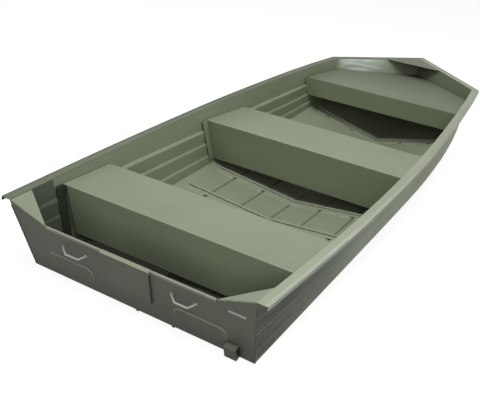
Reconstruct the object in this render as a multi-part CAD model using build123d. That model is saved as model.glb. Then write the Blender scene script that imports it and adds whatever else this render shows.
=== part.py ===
from build123d import *
from collections import namedtuple
import math
import os

# Sizes of the whole boat, in mm
# x runs from the transom's foot forward, y to port, z up from the keel line
HALF_BOTTOM = 682.0
SHEET = 3.0
FLANGE = 57.0
FLANGE_SHEET = 4.0
LIP_DROP = 22.0
TRANSOM_SHEET = 4.0
TRANSOM_SLOPE = 0.333
KNUCKLE_SHARE = 0.91
STERN_RISE = 0.72
BOW_RISE = 0.85

# Hull stations from stern to bow, with half widths as shares of the half bottom
Station = namedtuple("Station", "x keel chine_y chine_z rise gunwale_y gunwale_z")
STATION_SIZES = [
    # x, keel height, chine share, chine height, knuckle's share of the rise, gunwale share, gunwale height
    (614.0, 0.0, 1.0, 36.0, STERN_RISE, 1.1833, 444.0),
    (1228.0, 0.0, 1.0, 72.0, STERN_RISE, 1.1935, 471.0),
    (1841.0, 0.0, 1.0, 109.0, STERN_RISE, 1.1789, 504.0),
    (2387.0, 0.0, 0.9897, 143.0, STERN_RISE, 1.1378, 534.0),
    (2864.0, 18.0, 0.9531, 176.0, 0.77, 1.085, 561.0),
    (3069.0, 40.0, 0.9326, 205.0, 0.81, 1.0572, 571.0),
    (3274.0, 68.0, 0.9076, 243.0, BOW_RISE, 1.0293, 580.0),
]
STATIONS = [
    Station(x, keel, chine * HALF_BOTTOM, chine_z, rise, gunwale * HALF_BOTTOM, gunwale_z)
    for x, keel, chine, chine_z, rise, gunwale, gunwale_z in STATION_SIZES
]
STERN_GUNWALE_Y = 1.1364 * HALF_BOTTOM
STERN_GUNWALE_Z = 417.0

# Bow corner, where side, panel and rail turn toward the stem
CORNER_CHINE = (3537.0, 0.8563 * HALF_BOTTOM, 316.0)
CORNER_KEEL_Z = 110.0
CORNER_TOP = (3565.0, 0.8959 * HALF_BOTTOM, 588.0)
CORNER_RAIL = (3586.0, 0.9751 * HALF_BOTTOM, 592.0)
STEM_FOOT = (3990.0, 375.0)
STEM_TOP = (4057.0, 636.0)
STEM_RAIL = (4134.0, 640.0)
BOW_KEEL = [
    # share of the way from the corner to the stem, keel height
    (0.36, 165.0),
    (0.71, 250.0),
]
TIP_HALF = 2.0
TIP_DROP = 4.0

# Pressed ledges along the sides: share of the height, share added at the transom, offset outward
LEDGES = [
    # share, added share, offset
    (0.13, 0.03, -2.0),
    (0.16, 0.03, 6.0),
    (0.35, 0.115, -2.0),
    (0.385, 0.115, 6.0),
    (0.59, 0.11, -4.0),
    (0.63, 0.11, 8.0),
]
STERN_LEDGE = 0.3


def plane_point(y, height, out):
    """Point on the transom: y, height along its face, distance out from the face."""
    run = math.hypot(1.0, TRANSOM_SLOPE)
    cos_rake = 1.0 / run
    sin_rake = TRANSOM_SLOPE / run
    x = -height * sin_rake - (out + TRANSOM_SHEET) * cos_rake
    z = height * cos_rake - (out + TRANSOM_SHEET) * sin_rake
    return Vector(x, y, z)


def transom_plane(y, height, out):
    """Plane on the transom's outer face: its x runs to port, its y up the face."""
    run = math.hypot(1.0, TRANSOM_SLOPE)
    aft = Vector(-1.0 / run, 0.0, -TRANSOM_SLOPE / run)
    return Plane(origin=plane_point(y, height, out), x_dir=Vector(0, -1, 0), z_dir=aft)


# Section points of the hull

# A row gives x from z on its section's plane, the section's sizes, the ledges' strength and their climb,
# both 0 to 1
Row = namedtuple("Row", "x_of keel chine_y chine_z rise top_y top_z ledge climb")


def section_values():
    """Rows of the transom, the stations and the bow corner."""
    rows = [Row(lambda z: -TRANSOM_SLOPE * z, 0.0, HALF_BOTTOM, 0.0, STERN_RISE,
                STERN_GUNWALE_Y - FLANGE + SHEET, STERN_GUNWALE_Z - FLANGE_SHEET, STERN_LEDGE, 1.0)]
    level_x = STATIONS[2].x
    for s in STATIONS:
        climb = max(0.0, 1.0 - s.x / level_x)
        rows.append(Row(lambda z, x=s.x: x, s.keel, s.chine_y, s.chine_z, s.rise,
                        s.gunwale_y - FLANGE + SHEET, s.gunwale_z - FLANGE_SHEET, 1.0, climb))
    lean = (CORNER_TOP[0] - CORNER_CHINE[0]) / (CORNER_TOP[2] - CORNER_CHINE[2] - SHEET)
    rows.append(Row(lambda z: CORNER_CHINE[0] + lean * (z - CORNER_CHINE[2] - SHEET),
                    CORNER_KEEL_Z, CORNER_CHINE[1], CORNER_CHINE[2], BOW_RISE,
                    CORNER_TOP[1], CORNER_TOP[2], 0.0, 0.0))
    return rows


def side_line(row):
    """Outer points (y, z) of the port side, from the chine to the flange."""
    foot_z = row.chine_z + SHEET
    points = [(row.chine_y, foot_z)]
    for share, added, offset in LEDGES:
        share += added * row.climb
        y = row.chine_y + (row.top_y - row.chine_y) * share + offset * row.ledge
        z = foot_z + (row.top_z - foot_z) * share
        points.append((y, z))
    points.append((row.top_y, row.top_z))
    return points


def bottom_line(row, lift):
    """Points (y, z) of the bottom from keel to chine, lifted by a thickness."""
    knuckle_z = row.keel + (row.chine_z - row.keel) * row.rise
    return [(0.0, row.keel + lift),
            (row.chine_y * KNUCKLE_SHARE, knuckle_z + lift),
            (row.chine_y, row.chine_z + lift)]


def floor_height(row, y, lift):
    """Height of the bottom at a distance y from the keel."""
    line = bottom_line(row, lift)
    y = abs(y)
    for (y0, z0), (y1, z1) in zip(line, line[1:]):
        if y <= y1 or (y1, z1) == line[-1]:
            return z0 + (z1 - z0) * (y - y0) / (y1 - y0)


def ruled(sections):
    """Solid through closed outlines with matching corners."""
    wires = [Wire.make_polygon(points, close=True) for points in sections]
    return Solid.make_loft(wires, ruled=True)


def bow_rows():
    """Rows for the bottom between the corner and the stem."""
    rows = []
    for share, keel in BOW_KEEL + [(1.0 - TIP_HALF / CORNER_CHINE[1], STEM_FOOT[1] - TIP_DROP)]:
        x = CORNER_CHINE[0] + (STEM_FOOT[0] - CORNER_CHINE[0]) * share
        y = CORNER_CHINE[1] * (1.0 - share)
        z = CORNER_CHINE[2] + (STEM_FOOT[1] - CORNER_CHINE[2]) * share
        rows.append(Row(lambda _z, x=x: x, keel, y, z, BOW_RISE, y, z, 0.0, 0.0))
    return rows


ROWS = section_values()
BOW_ROWS = bow_rows()


def port_and_starboard(name, solid):
    return {f"{name}_port": solid, f"{name}_starboard": mirror(solid, about=Plane.XZ)}


# Bottom sheet with its strakes


def bottom_section(row):
    line = bottom_line(row, 0.0) + bottom_line(row, SHEET)[::-1]
    half = [(row.x_of(z), y, z) for y, z in line]
    other = [(x, -y, z) for x, y, z in half if y > 0.0]
    lower = other[:2][::-1]
    upper = other[2:]
    return lower + half + upper[::-1]


def make_bottom():
    return ruled([bottom_section(row) for row in ROWS + BOW_ROWS])


OVERCUT = 1.0
STRAKE_HALF = 12.0
STRAKE_FOOT = 7.0
STRAKE_DEPTH = 12.0
STRAKE_START = 60.0
INNER_STRAKE = 0.3226 * HALF_BOTTOM
OUTER_STRAKE = 0.6672 * HALF_BOTTOM
STRAKES = [
    # name, y, first x, last x
    ("strake_keel", 0.0, 0.0, STATIONS[6].x),
    ("strake_inner_port", INNER_STRAKE, STRAKE_START, STATIONS[5].x),
    ("strake_inner_starboard", -INNER_STRAKE, 0.0, STATIONS[5].x),
    ("strake_outer_port", OUTER_STRAKE, STRAKE_START, STATIONS[4].x),
    ("strake_outer_starboard", -OUTER_STRAKE, STRAKE_START, STATIONS[4].x),
]


def row_at(x):
    """Section sizes at any x between two stations, read off the straight line."""
    known = [(0.0, 0.0, HALF_BOTTOM, 0.0, STERN_RISE)] + [s[:5] for s in STATIONS]
    for a, b in zip(known, known[1:]):
        if a[0] <= x <= b[0]:
            t = (x - a[0]) / (b[0] - a[0])
            keel, chine_y, chine_z, rise = [p + (q - p) * t for p, q in zip(a[1:], b[1:])]
            return Row(lambda _z, x=x: x, keel, chine_y, chine_z, rise, chine_y, chine_z, 0.0, 0.0)


def make_strake(bottom, y, first, last):
    xs = [first] + [s.x for s in STATIONS if first < s.x < last] + [last]
    sections = []
    for x in xs:
        row = row_at(x)
        left = (x, y + STRAKE_HALF, floor_height(row, y + STRAKE_HALF, OVERCUT))
        right = (x, y - STRAKE_HALF, floor_height(row, y - STRAKE_HALF, OVERCUT))
        middle = (x, y, floor_height(row, y, OVERCUT))
        foot = middle[2] - OVERCUT - STRAKE_DEPTH
        sections.append([left, middle, right, (x, y - STRAKE_FOOT, foot), (x, y + STRAKE_FOOT, foot)])
    return ruled(sections) - bottom


# Side sheets and the hollow they enclose


def side_section(row):
    outer = side_line(row)
    inner = [(y - SHEET, z) for y, z in outer]
    inner[0] = (inner[0][0], floor_height(row, inner[0][0], SHEET))
    return [(row.x_of(z), y, z) for y, z in outer + inner[::-1]]


def make_side():
    return ruled([side_section(row) for row in ROWS])


def hollow_section(row, shrink):
    """Outline of the room inside the hull, between the sheets, narrowed by shrink."""
    line = [(y - SHEET - shrink, z) for y, z in side_line(row)]
    line[0] = (line[0][0], floor_height(row, line[0][0], SHEET))
    knuckle = bottom_line(row, SHEET)[1]
    half = [knuckle] + line
    port = [(row.x_of(z), y, z) for y, z in half]
    starboard = [(row.x_of(z), -y, z) for y, z in reversed(half)]
    keel_z = row.keel + SHEET
    return port + starboard + [(row.x_of(keel_z), 0.0, keel_z)]


def make_hollow(rows, shrink=0.0):
    return ruled([hollow_section(row, shrink) for row in rows])


# Rails along the sheets' top edges


def rail_profile():
    """Rail outline: distance in from the outer edge, height from the flange's top."""
    return [
        (FLANGE, -FLANGE_SHEET), (FLANGE, 0.0), (15.0, 0.0), (13.0, -2.0), (10.0, -2.0),
        (8.0, 2.0), (2.5, 2.0), (0.0, -2.0), (0.0, -LIP_DROP), (FLANGE_SHEET, -LIP_DROP),
        (FLANGE_SHEET, -FLANGE_SHEET - 1.0), (6.0, -FLANGE_SHEET),
    ]


def rail_section(outer, inner, z):
    """Rail outline laid between an outer and an inner point seen in plan."""
    points = []
    for back, rise in rail_profile():
        t = back / FLANGE
        x = outer[0] + (inner[0] - outer[0]) * t
        y = outer[1] + (inner[1] - outer[1]) * t
        points.append((x, y, z + rise))
    return points


def corner_section():
    inner = (CORNER_TOP[0], CORNER_TOP[1] - SHEET)
    return rail_section(CORNER_RAIL[:2], inner, CORNER_RAIL[2])


def make_gunwale():
    sections = []
    x = -TRANSOM_SLOPE * STERN_GUNWALE_Z - TRANSOM_SHEET
    sections.append(rail_section((x, STERN_GUNWALE_Y), (x, STERN_GUNWALE_Y - FLANGE), STERN_GUNWALE_Z))
    for s in STATIONS:
        sections.append(rail_section((s.x, s.gunwale_y), (s.x, s.gunwale_y - FLANGE), s.gunwale_z))
    sections.append(corner_section())
    return ruled(sections)


def make_bow_rail():
    stem = rail_section((STEM_RAIL[0], 0.0), (STEM_TOP[0] - SHEET, 0.0), STEM_RAIL[1])
    return ruled([corner_section(), stem])


def make_bow_panel():
    row = ROWS[-1]
    corner = side_section(row)
    top_y, top_z = side_line(row)[-1]
    top_x = row.x_of(top_z)
    first = [corner[0], (top_x, top_y, top_z), (top_x, top_y - SHEET, top_z), corner[-1]]
    last_share, last_keel = BOW_KEEL[-1]
    keel_x = CORNER_CHINE[0] + (STEM_FOOT[0] - CORNER_CHINE[0]) * last_share
    slope = (STEM_FOOT[1] - TIP_DROP - last_keel) / (STEM_FOOT[0] - keel_x)
    foot = STEM_FOOT[1] + SHEET
    last = [(STEM_FOOT[0], 0.0, foot), (STEM_TOP[0], 0.0, STEM_TOP[1]),
            (STEM_TOP[0] - SHEET, 0.0, STEM_TOP[1]), (STEM_FOOT[0] - SHEET, 0.0, foot - SHEET * slope)]
    return ruled([first, last])


# Transom and what sits on it

TRANSOM_LOW = 343.0
TRANSOM_LOW_HALF = 0.7434 * HALF_BOTTOM
PRESSED_Y = 0.5806 * HALF_BOTTOM
PRESSED_H = 113.0
PRESSED_WIDE = 0.4399 * HALF_BOTTOM
PRESSED_TALL = 104.0
PRESSED_CORNER = 45.0
PRESSED_DEPTH = 7.0


def make_transom():
    run = math.hypot(1.0, TRANSOM_SLOPE)
    row = ROWS[0]
    line = [(HALF_BOTTOM, 0.0)] + side_line(row)
    port = [(y, z * run) for y, z in line]
    port = port + [(TRANSOM_LOW_HALF, TRANSOM_LOW)]
    outline = port + [(-y, h) for y, h in reversed(port)]
    face = transom_plane(0.0, 0.0, 0.0)
    points = [face.from_local_coords((-y, h, 0.0)) for y, h in outline]
    sheet = extrude(Face(Wire.make_polygon(points, close=True)), amount=TRANSOM_SHEET, dir=-face.z_dir)
    for side in (1, -1):
        spot = transom_plane(side * PRESSED_Y, PRESSED_H, 0.0)
        raised = spot * RectangleRounded(PRESSED_WIDE, PRESSED_TALL, PRESSED_CORNER)
        sheet += extrude(raised, amount=PRESSED_DEPTH, taper=45.0)
        inside = transom_plane(side * PRESSED_Y, PRESSED_H, -TRANSOM_SHEET)
        pocket = inside * RectangleRounded(PRESSED_WIDE - 2 * SHEET, PRESSED_TALL - 2 * SHEET,
                                           PRESSED_CORNER - SHEET)
        sheet -= extrude(pocket, amount=PRESSED_DEPTH, taper=45.0)
    return sheet


LIP_WIDE = 26.0
LIP_THICK = 2.5
LIP_SHEET = 3.0
LIP_FOLD = 12.0
PAD_TOP_HALF = 140.0
PAD_FOOT_HALF = 120.0
PAD_FOOT = 115.0
PAD_THICK = 12.0
PAD_CAP_HALF = 147.0
PAD_CAP_THICK = 5.0
PAD_CAP_FOLD = 14.0
PAD_CAP_SHEET = 4.0
BOARD_THICK = 34.0
BOARD_HALF = 230.0
BOARD_FOOT = 70.0


def slab_on_transom(corners, out, thick):
    """Plate with the given (y, height) corners, from a distance out, growing aft."""
    face = transom_plane(0.0, 0.0, out)
    points = [face.from_local_coords((-y, h, 0.0)) for y, h in corners]
    return extrude(Face(Wire.make_polygon(points, close=True)), amount=thick, dir=face.z_dir)


def block_on_transom(y, low, high, half, out, thick):
    return slab_on_transom([(y + half, low), (y + half, high), (y - half, high), (y - half, low)], out, thick)


def make_transom_lip(side):
    """Folded lip along the low top edge, from the pad's cap out to the knee."""
    middle = side * (PAD_CAP_HALF + TRANSOM_LOW_HALF) / 2
    half = (TRANSOM_LOW_HALF - PAD_CAP_HALF) / 2
    top = block_on_transom(middle, TRANSOM_LOW, TRANSOM_LOW + LIP_THICK, half,
                           -LIP_WIDE, LIP_WIDE + LIP_SHEET)
    fold = block_on_transom(middle, TRANSOM_LOW - LIP_FOLD, TRANSOM_LOW, half, 0.0, LIP_SHEET)
    return top + fold


def make_motor_pad():
    top = TRANSOM_LOW - PAD_CAP_FOLD
    corners = [(PAD_TOP_HALF, top), (-PAD_TOP_HALF, top),
               (-PAD_FOOT_HALF, PAD_FOOT), (PAD_FOOT_HALF, PAD_FOOT)]
    return slab_on_transom(corners, 0.0, PAD_THICK)


def make_motor_board():
    return block_on_transom(0.0, BOARD_FOOT, TRANSOM_LOW, BOARD_HALF, -TRANSOM_SHEET - BOARD_THICK, BOARD_THICK)


def make_pad_cap():
    """Channel folded over the board, the sheet and the pad."""
    low = TRANSOM_LOW - PAD_CAP_FOLD
    front = -TRANSOM_SHEET - BOARD_THICK - PAD_CAP_SHEET
    back = PAD_THICK + PAD_CAP_SHEET
    top = block_on_transom(0.0, TRANSOM_LOW, TRANSOM_LOW + PAD_CAP_THICK, PAD_CAP_HALF, front, back - front)
    aft = block_on_transom(0.0, low, TRANSOM_LOW, PAD_CAP_HALF, 0.0, back)
    fore = block_on_transom(0.0, low, TRANSOM_LOW, PAD_CAP_HALF, front, PAD_CAP_SHEET)
    return top + aft + fore


HANDLE_ROD = 4.5
HANDLE_Y = (0.3798 * HALF_BOTTOM, 0.629 * HALF_BOTTOM)
HANDLE_H = 242.0
HANDLE_DROP = 16.0
HANDLE_REACH = 30.0
HANDLE_STUB = 9.0
HANDLE_INSET = 36.0
HANDLE_BEND = 9.0
HANDLE_FOOT = 11.0
HANDLE_FOOT_THICK = 3.0


def make_handle(side):
    near, far = HANDLE_Y
    path = [
        (near, HANDLE_H, 0.0),
        (near, HANDLE_H, HANDLE_STUB),
        (near + HANDLE_INSET, HANDLE_H - HANDLE_DROP, HANDLE_REACH),
        (far - HANDLE_INSET, HANDLE_H - HANDLE_DROP, HANDLE_REACH),
        (far, HANDLE_H, HANDLE_STUB),
        (far, HANDLE_H, 0.0),
    ]
    points = [plane_point(side * y, h, out) for y, h, out in path]
    line = FilletPolyline(*points, radius=HANDLE_BEND)
    start = Plane(origin=line @ 0, z_dir=line % 0)
    rod = sweep(start * Circle(HANDLE_ROD), path=line)
    for y in HANDLE_Y:
        foot = transom_plane(side * y, HANDLE_H, 0.0) * Circle(HANDLE_FOOT)
        rod += extrude(foot, amount=HANDLE_FOOT_THICK)
    return rod


# Plain plate and folded bracket, both on the starboard side

PLATE_FROM_EDGE = 68.0
PLATE_HALF = 46.0
PLATE_LOW = 294.0
PLATE_TALL = 22.0
PLATE_THICK = 1.5
BRACKET_FROM_EDGE = 110.0
BRACKET_HALF = 33.0
BRACKET_LOW = 7.0
BRACKET_TALL = 73.0
BRACKET_DEEP = 34.0
BRACKET_SHEET = 4.0


def make_plate():
    y = PLATE_FROM_EDGE - HALF_BOTTOM
    return block_on_transom(y, PLATE_LOW, PLATE_LOW + PLATE_TALL, PLATE_HALF, 0.0, PLATE_THICK)


def make_bracket():
    """Box open at its foot, with walls of one sheet."""
    y = BRACKET_FROM_EDGE - HALF_BOTTOM
    top = BRACKET_LOW + BRACKET_TALL
    body = block_on_transom(y, BRACKET_LOW, top, BRACKET_HALF, 0.0, BRACKET_DEEP)
    room = block_on_transom(y, BRACKET_LOW - OVERCUT, top - BRACKET_SHEET, BRACKET_HALF - BRACKET_SHEET,
                            BRACKET_SHEET, BRACKET_DEEP - 2 * BRACKET_SHEET)
    return body - room


KNEE_FORE = 11.0
KNEE_OUT = 6.0
KNEE_RISE = 5.0


def make_knee(transom, side):
    """Triangular plate between the transom's low top and the gunwale."""
    high = STERN_GUNWALE_Z - FLANGE_SHEET
    inner_y = STERN_GUNWALE_Y - FLANGE
    low_z = TRANSOM_LOW / math.hypot(1.0, TRANSOM_SLOPE)
    corners = [(-TRANSOM_SLOPE * high, inner_y, high), (KNEE_FORE, inner_y + KNEE_OUT, high + KNEE_RISE),
               (-TRANSOM_SLOPE * low_z, TRANSOM_LOW_HALF, low_z)]
    triangle = Face(Wire.make_polygon(corners, close=True))
    normal = triangle.normal_at()
    if normal.Z > 0:
        normal = -normal
    plate = extrude(triangle, amount=SHEET, dir=normal)
    return plate - transom - side


BRACE_FRONT = 215.0
BRACE_TOP = 300.0
BRACE_NOSE = 30.0
BRACE_HALF = 2.5


def make_brace(bottom):
    """Upright gusset between the motor board and the bottom."""
    back_out = -TRANSOM_SHEET - BOARD_THICK
    top = plane_point(0.0, BRACE_TOP, back_out)
    low = plane_point(0.0, BOARD_FOOT, back_out)
    skin = plane_point(0.0, BOARD_FOOT, -TRANSOM_SHEET)
    foot = SHEET - OVERCUT
    points = [(top.X, top.Z), (low.X, low.Z), (skin.X, skin.Z), (-TRANSOM_SLOPE * foot, foot),
              (BRACE_FRONT, foot), (BRACE_FRONT, BRACE_NOSE)]
    face = Face(Wire.make_polygon([(x, -BRACE_HALF, z) for x, z in points], close=True))
    return extrude(face, amount=2 * BRACE_HALF, dir=(0, 1, 0)) - bottom


# Benches, ribs and the bow plate

# The aft faces lean, with the foot further forward than the top
BENCHES = [
    # name, aft x at the top, lean of the aft face, forward x, foot of the faces, top
    ("aft_bench", 244.0, 20.0, 648.0, 52.0, 378.0),
    ("mid_bench", 1669.0, 44.0, 2150.0, 132.0, 416.0),
]
# Aft x at the top, lean of the face, foot of the face, top
BOW_BENCH = (STATIONS[5].x, 45.0, 340.0, 499.0)
BENCH_SHEET = 3.0
# Width of the end strips at the top and at the foot, and their distance from the side sheet's line
STRIP_TOP_WIDE = 62.0
STRIP_FOOT_WIDE = 50.0
STRIP_OFF = 4.2
DECK_ROOM = 28.0


def slab(points):
    """Block right across the boat with the given (x, z) corners, to be cut by the hollow."""
    wide = 1.5 * HALF_BOTTOM
    face = Face(Wire.make_polygon([(x, -wide, z) for x, z in points], close=True))
    return extrude(face, amount=2 * wide, dir=(0, 1, 0))


def lean_at(top_x, lean, foot, top, z):
    """Place of a leaning face at a height."""
    return top_x + lean * (top - z) / (top - foot)


def make_bench(hollow, top_x, lean, fore, foot, top):
    body = slab([(top_x, top), (fore, top), (fore, foot), (top_x + lean, foot)])
    low = foot - OVERCUT
    high = top - BENCH_SHEET
    inner = [(lean_at(top_x, lean, foot, top, z) + BENCH_SHEET, z) for z in (high, low)]
    body -= slab([inner[0], (fore - BENCH_SHEET, high), (fore - BENCH_SHEET, low), inner[1]])
    return body & hollow


def make_strips(plain, core, top_x, lean, foot, top):
    """Straight port and starboard strips beside the side sheets, aft of a bench's face."""
    band = slab([(top_x - STRIP_TOP_WIDE, top), (top_x, top), (top_x + lean, foot),
                 (top_x + lean - STRIP_FOOT_WIDE, foot)])
    shell = (band & plain) - core
    solids = sorted(shell.solids(), key=lambda s: -s.center().Y)
    return solids[0], solids[-1]


def bow_room():
    """Room between the bow panels, a little lower and higher than the bow bench."""
    x_of = ROWS[-1].x_of
    levels = []
    for z in (BOW_BENCH[2] - DECK_ROOM, BOW_BENCH[3] + DECK_ROOM):
        share = (z - CORNER_CHINE[2] - SHEET) / (CORNER_TOP[2] - CORNER_CHINE[2] - SHEET)
        y = CORNER_CHINE[1] + (CORNER_TOP[1] - CORNER_CHINE[1]) * share - SHEET
        up = (z - STEM_FOOT[1] - SHEET) / (STEM_TOP[1] - STEM_FOOT[1] - SHEET)
        stem = STEM_FOOT[0] + (STEM_TOP[0] - STEM_FOOT[0]) * up - SHEET
        back = x_of(z) - OVERCUT
        levels.append([(back, y, z), (stem, 0.0, z), (back, -y, z)])
    return ruled(levels)


def make_bow_bench(hollow, panels):
    top_x, lean, foot, top = BOW_BENCH
    low = top - BENCH_SHEET
    low_x = lean_at(*BOW_BENCH, low)
    face = slab([(low_x, low), (low_x + BENCH_SHEET, low), (top_x + lean + BENCH_SHEET, foot),
                 (top_x + lean, foot)]) & hollow
    deck = slab([(top_x, top), (STEM_RAIL[0], top), (STEM_RAIL[0], low), (low_x, low)])
    body = face + (deck & hollow) + (deck & bow_room())
    for panel in panels:
        body -= panel
    return body


RIB_WIDE = 44.0
RIB_TALL = 12.0
RIBS = [290.0, 553.0, 925.0, 1297.0, 1669.0, 2185.0, 2691.0, 3196.0]
LIMBER_Y = (0.66 * HALF_BOTTOM, 0.32 * HALF_BOTTOM)
LIMBER_WIDE = 30.0
LIMBER_TALL = 7.0


def rib_section(x, low, high):
    """Outline across the floor between two lifts above the bottom's underside."""
    row = row_at(x)
    knuckle = row.chine_y * KNUCKLE_SHARE
    outline = [(0.0, low), (knuckle, low), (knuckle, high), (0.0, high), (-knuckle, high), (-knuckle, low)]
    return [(x, y, floor_height(row, y, lift)) for y, lift in outline]


def make_rib(bottom, x):
    top = SHEET + RIB_TALL
    low = SHEET - OVERCUT
    body = ruled([rib_section(x, low, top), rib_section(x + RIB_WIDE, low, top)])
    inner = [rib_section(at, -OVERCUT, top - SHEET) for at in (x + SHEET, x + RIB_WIDE - SHEET)]
    body -= ruled(inner)
    for y in LIMBER_Y:
        for side in (1, -1):
            z = floor_height(row_at(x), y, SHEET)
            body -= Pos(x + RIB_WIDE / 2, side * y, z) * Box(2 * RIB_WIDE, LIMBER_WIDE, 2 * LIMBER_TALL)
    return body - bottom


# Share of the bow rails' run that the breasthook closes, from the stem aft
HOOK_SHARE = 0.41


def make_breasthook():
    """Triangular plate between the inner edges of the bow rails."""
    start = (CORNER_TOP[0], CORNER_TOP[1] - SHEET, CORNER_RAIL[2])
    end = (STEM_TOP[0] - SHEET, 0.0, STEM_RAIL[1])
    x = end[0] + (start[0] - end[0]) * HOOK_SHARE
    y = start[1] * HOOK_SHARE
    z = end[2] + (start[2] - end[2]) * HOOK_SHARE
    top = Face(Wire.make_polygon([(x, y, z), end, (x, -y, z)], close=True))
    return extrude(top, amount=SHEET, dir=(0, 0, -1))


EYE_Z = 470.0
EYE_HOLE = 9.0
EYE_REACH = 22.0
EYE_OUTER = 18.0
EYE_THICK = 12.0
EYE_ROOT = 40.0


def make_bow_eye(panels):
    """Lug on the stem with a cross hole for a hook or a rope."""
    share = (EYE_Z - STEM_FOOT[1]) / (STEM_TOP[1] - STEM_FOOT[1])
    stem_x = STEM_FOOT[0] + (STEM_TOP[0] - STEM_FOOT[0]) * share
    hole_x = stem_x + EYE_REACH
    side_plane = Plane(origin=(hole_x, EYE_THICK / 2, EYE_Z), x_dir=(1, 0, 0), z_dir=(0, -1, 0))
    flat = side_plane * (Circle(EYE_OUTER) + Pos(-EYE_ROOT / 2, 0.0) * Rectangle(EYE_ROOT, 2 * EYE_OUTER))
    lug = extrude(flat, amount=EYE_THICK)
    lug -= extrude(side_plane * Circle(EYE_HOLE), amount=EYE_THICK)
    for panel in panels:
        lug -= panel
    return max(lug.solids(), key=lambda solid: solid.center().X)


def main():
    parts = {}
    hollow = make_hollow(ROWS)
    plain_rows = [row._replace(ledge=0.0) for row in ROWS]
    plain = make_hollow(plain_rows, shrink=STRIP_OFF)
    core = make_hollow(plain_rows, shrink=STRIP_OFF + BENCH_SHEET)
    bottom = make_bottom()
    parts["bottom_sheet"] = bottom
    for name, y, first, last in STRAKES:
        parts[name] = make_strake(bottom, y, first, last)
    gunwale = make_gunwale()
    bow_rail = make_bow_rail()
    side = make_side() - gunwale - bottom
    panel = make_bow_panel() - bow_rail - gunwale - bottom
    parts.update(port_and_starboard("side_sheet", side))
    parts.update(port_and_starboard("bow_panel", panel))
    parts.update(port_and_starboard("gunwale_rail", gunwale))
    parts.update(port_and_starboard("bow_rail", bow_rail))
    parts["breasthook"] = make_breasthook()
    transom = make_transom()
    parts["transom_sheet"] = transom
    parts["transom_lip_port"] = make_transom_lip(1)
    parts["transom_lip_starboard"] = make_transom_lip(-1)
    parts["motor_pad"] = make_motor_pad()
    parts["motor_board"] = make_motor_board()
    parts["pad_cap"] = make_pad_cap()
    parts["transom_brace"] = make_brace(bottom)
    parts["lift_handle_port"] = make_handle(1)
    parts["lift_handle_starboard"] = make_handle(-1)
    parts["blank_plate"] = make_plate()
    parts["sounder_bracket"] = make_bracket()
    parts.update(port_and_starboard("quarter_knee", make_knee(transom, side)))
    for name, top_x, lean, fore, foot, top in BENCHES:
        parts[name] = make_bench(hollow, top_x, lean, fore, foot, top)
        port, starboard = make_strips(plain, core, top_x, lean, foot, top)
        parts[name + "_end_port"] = port
        parts[name + "_end_starboard"] = starboard
    panels = [parts["bow_panel_port"], parts["bow_panel_starboard"]]
    parts["bow_eye"] = make_bow_eye(panels)
    parts["bow_bench"] = make_bow_bench(hollow, panels)
    port, starboard = make_strips(plain, core, *BOW_BENCH)
    parts["bow_bench_end_port"] = port
    parts["bow_bench_end_starboard"] = starboard
    for number, x in enumerate(RIBS, start=1):
        parts[f"floor_rib_{number}"] = make_rib(bottom, x)
    os.makedirs("parts", exist_ok=True)
    stern_x = -TRANSOM_SLOPE * STERN_GUNWALE_Z - TRANSOM_SHEET
    middle_x = (stern_x + STEM_RAIL[0]) / 2.0
    for name, shape in parts.items():
        shape = Pos(-middle_x, 0.0, STRAKE_DEPTH) * shape
        export_step(shape, f"parts/{name}.step")
        box = shape.bounding_box()
        print(name, len(shape.solids()), shape.is_valid, round(shape.volume / 1000.0, 1),
              [round(v, 1) for v in (*box.min, *box.max)])


main()
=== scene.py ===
import logging
import math
from contextlib import contextmanager
from dataclasses import astuple, dataclass, field
from enum import Enum
from typing import Callable, Iterator, Sequence

import bmesh
import bpy
from bpy.types import Material, NodeTree, Object, ShaderNodeTree
from mathutils import Euler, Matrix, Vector


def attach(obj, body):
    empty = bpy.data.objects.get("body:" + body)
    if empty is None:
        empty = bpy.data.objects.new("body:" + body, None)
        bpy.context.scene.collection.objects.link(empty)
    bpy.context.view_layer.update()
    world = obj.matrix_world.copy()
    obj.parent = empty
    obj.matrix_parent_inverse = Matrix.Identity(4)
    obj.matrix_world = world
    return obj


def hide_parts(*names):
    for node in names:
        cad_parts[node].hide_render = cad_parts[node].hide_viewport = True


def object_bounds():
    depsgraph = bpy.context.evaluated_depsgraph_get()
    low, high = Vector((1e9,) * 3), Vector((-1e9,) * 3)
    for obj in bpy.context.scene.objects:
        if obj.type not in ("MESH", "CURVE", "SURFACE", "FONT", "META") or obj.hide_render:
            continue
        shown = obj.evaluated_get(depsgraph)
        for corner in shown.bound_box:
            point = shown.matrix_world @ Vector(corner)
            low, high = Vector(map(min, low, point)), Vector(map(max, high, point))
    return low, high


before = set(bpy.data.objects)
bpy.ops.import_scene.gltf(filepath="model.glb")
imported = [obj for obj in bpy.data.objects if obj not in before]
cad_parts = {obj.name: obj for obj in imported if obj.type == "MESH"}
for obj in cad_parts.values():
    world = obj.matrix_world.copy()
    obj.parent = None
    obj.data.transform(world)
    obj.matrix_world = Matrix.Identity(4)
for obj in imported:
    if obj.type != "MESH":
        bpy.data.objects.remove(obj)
CAD_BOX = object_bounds()

log = logging.getLogger("boat")

Colour = tuple[float, float, float]
Row = list[Vector]
PairTest = Callable[[Vector, Vector], bool]
Inputs = dict[str | int, object]

# The hull's own frame: metres, x forward from the transom's foot, y to port, z up from the keel
MIDDLE_X = 1.9955695
KEEL_LIFT = 0.012
SHEET = 0.003
FLANGE = 0.057
FLANGE_SHEET = 0.004
TRANSOM_SHEET = 0.004
RAKE = 0.333
RAKE_RUN = math.hypot(1.0, RAKE)
PORT = 1.0
STARBOARD = -1.0
SIDES = (("port", PORT), ("starboard", STARBOARD))
# Half width of a tool that reaches past both sides
PAST_SIDES = 0.9
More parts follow.
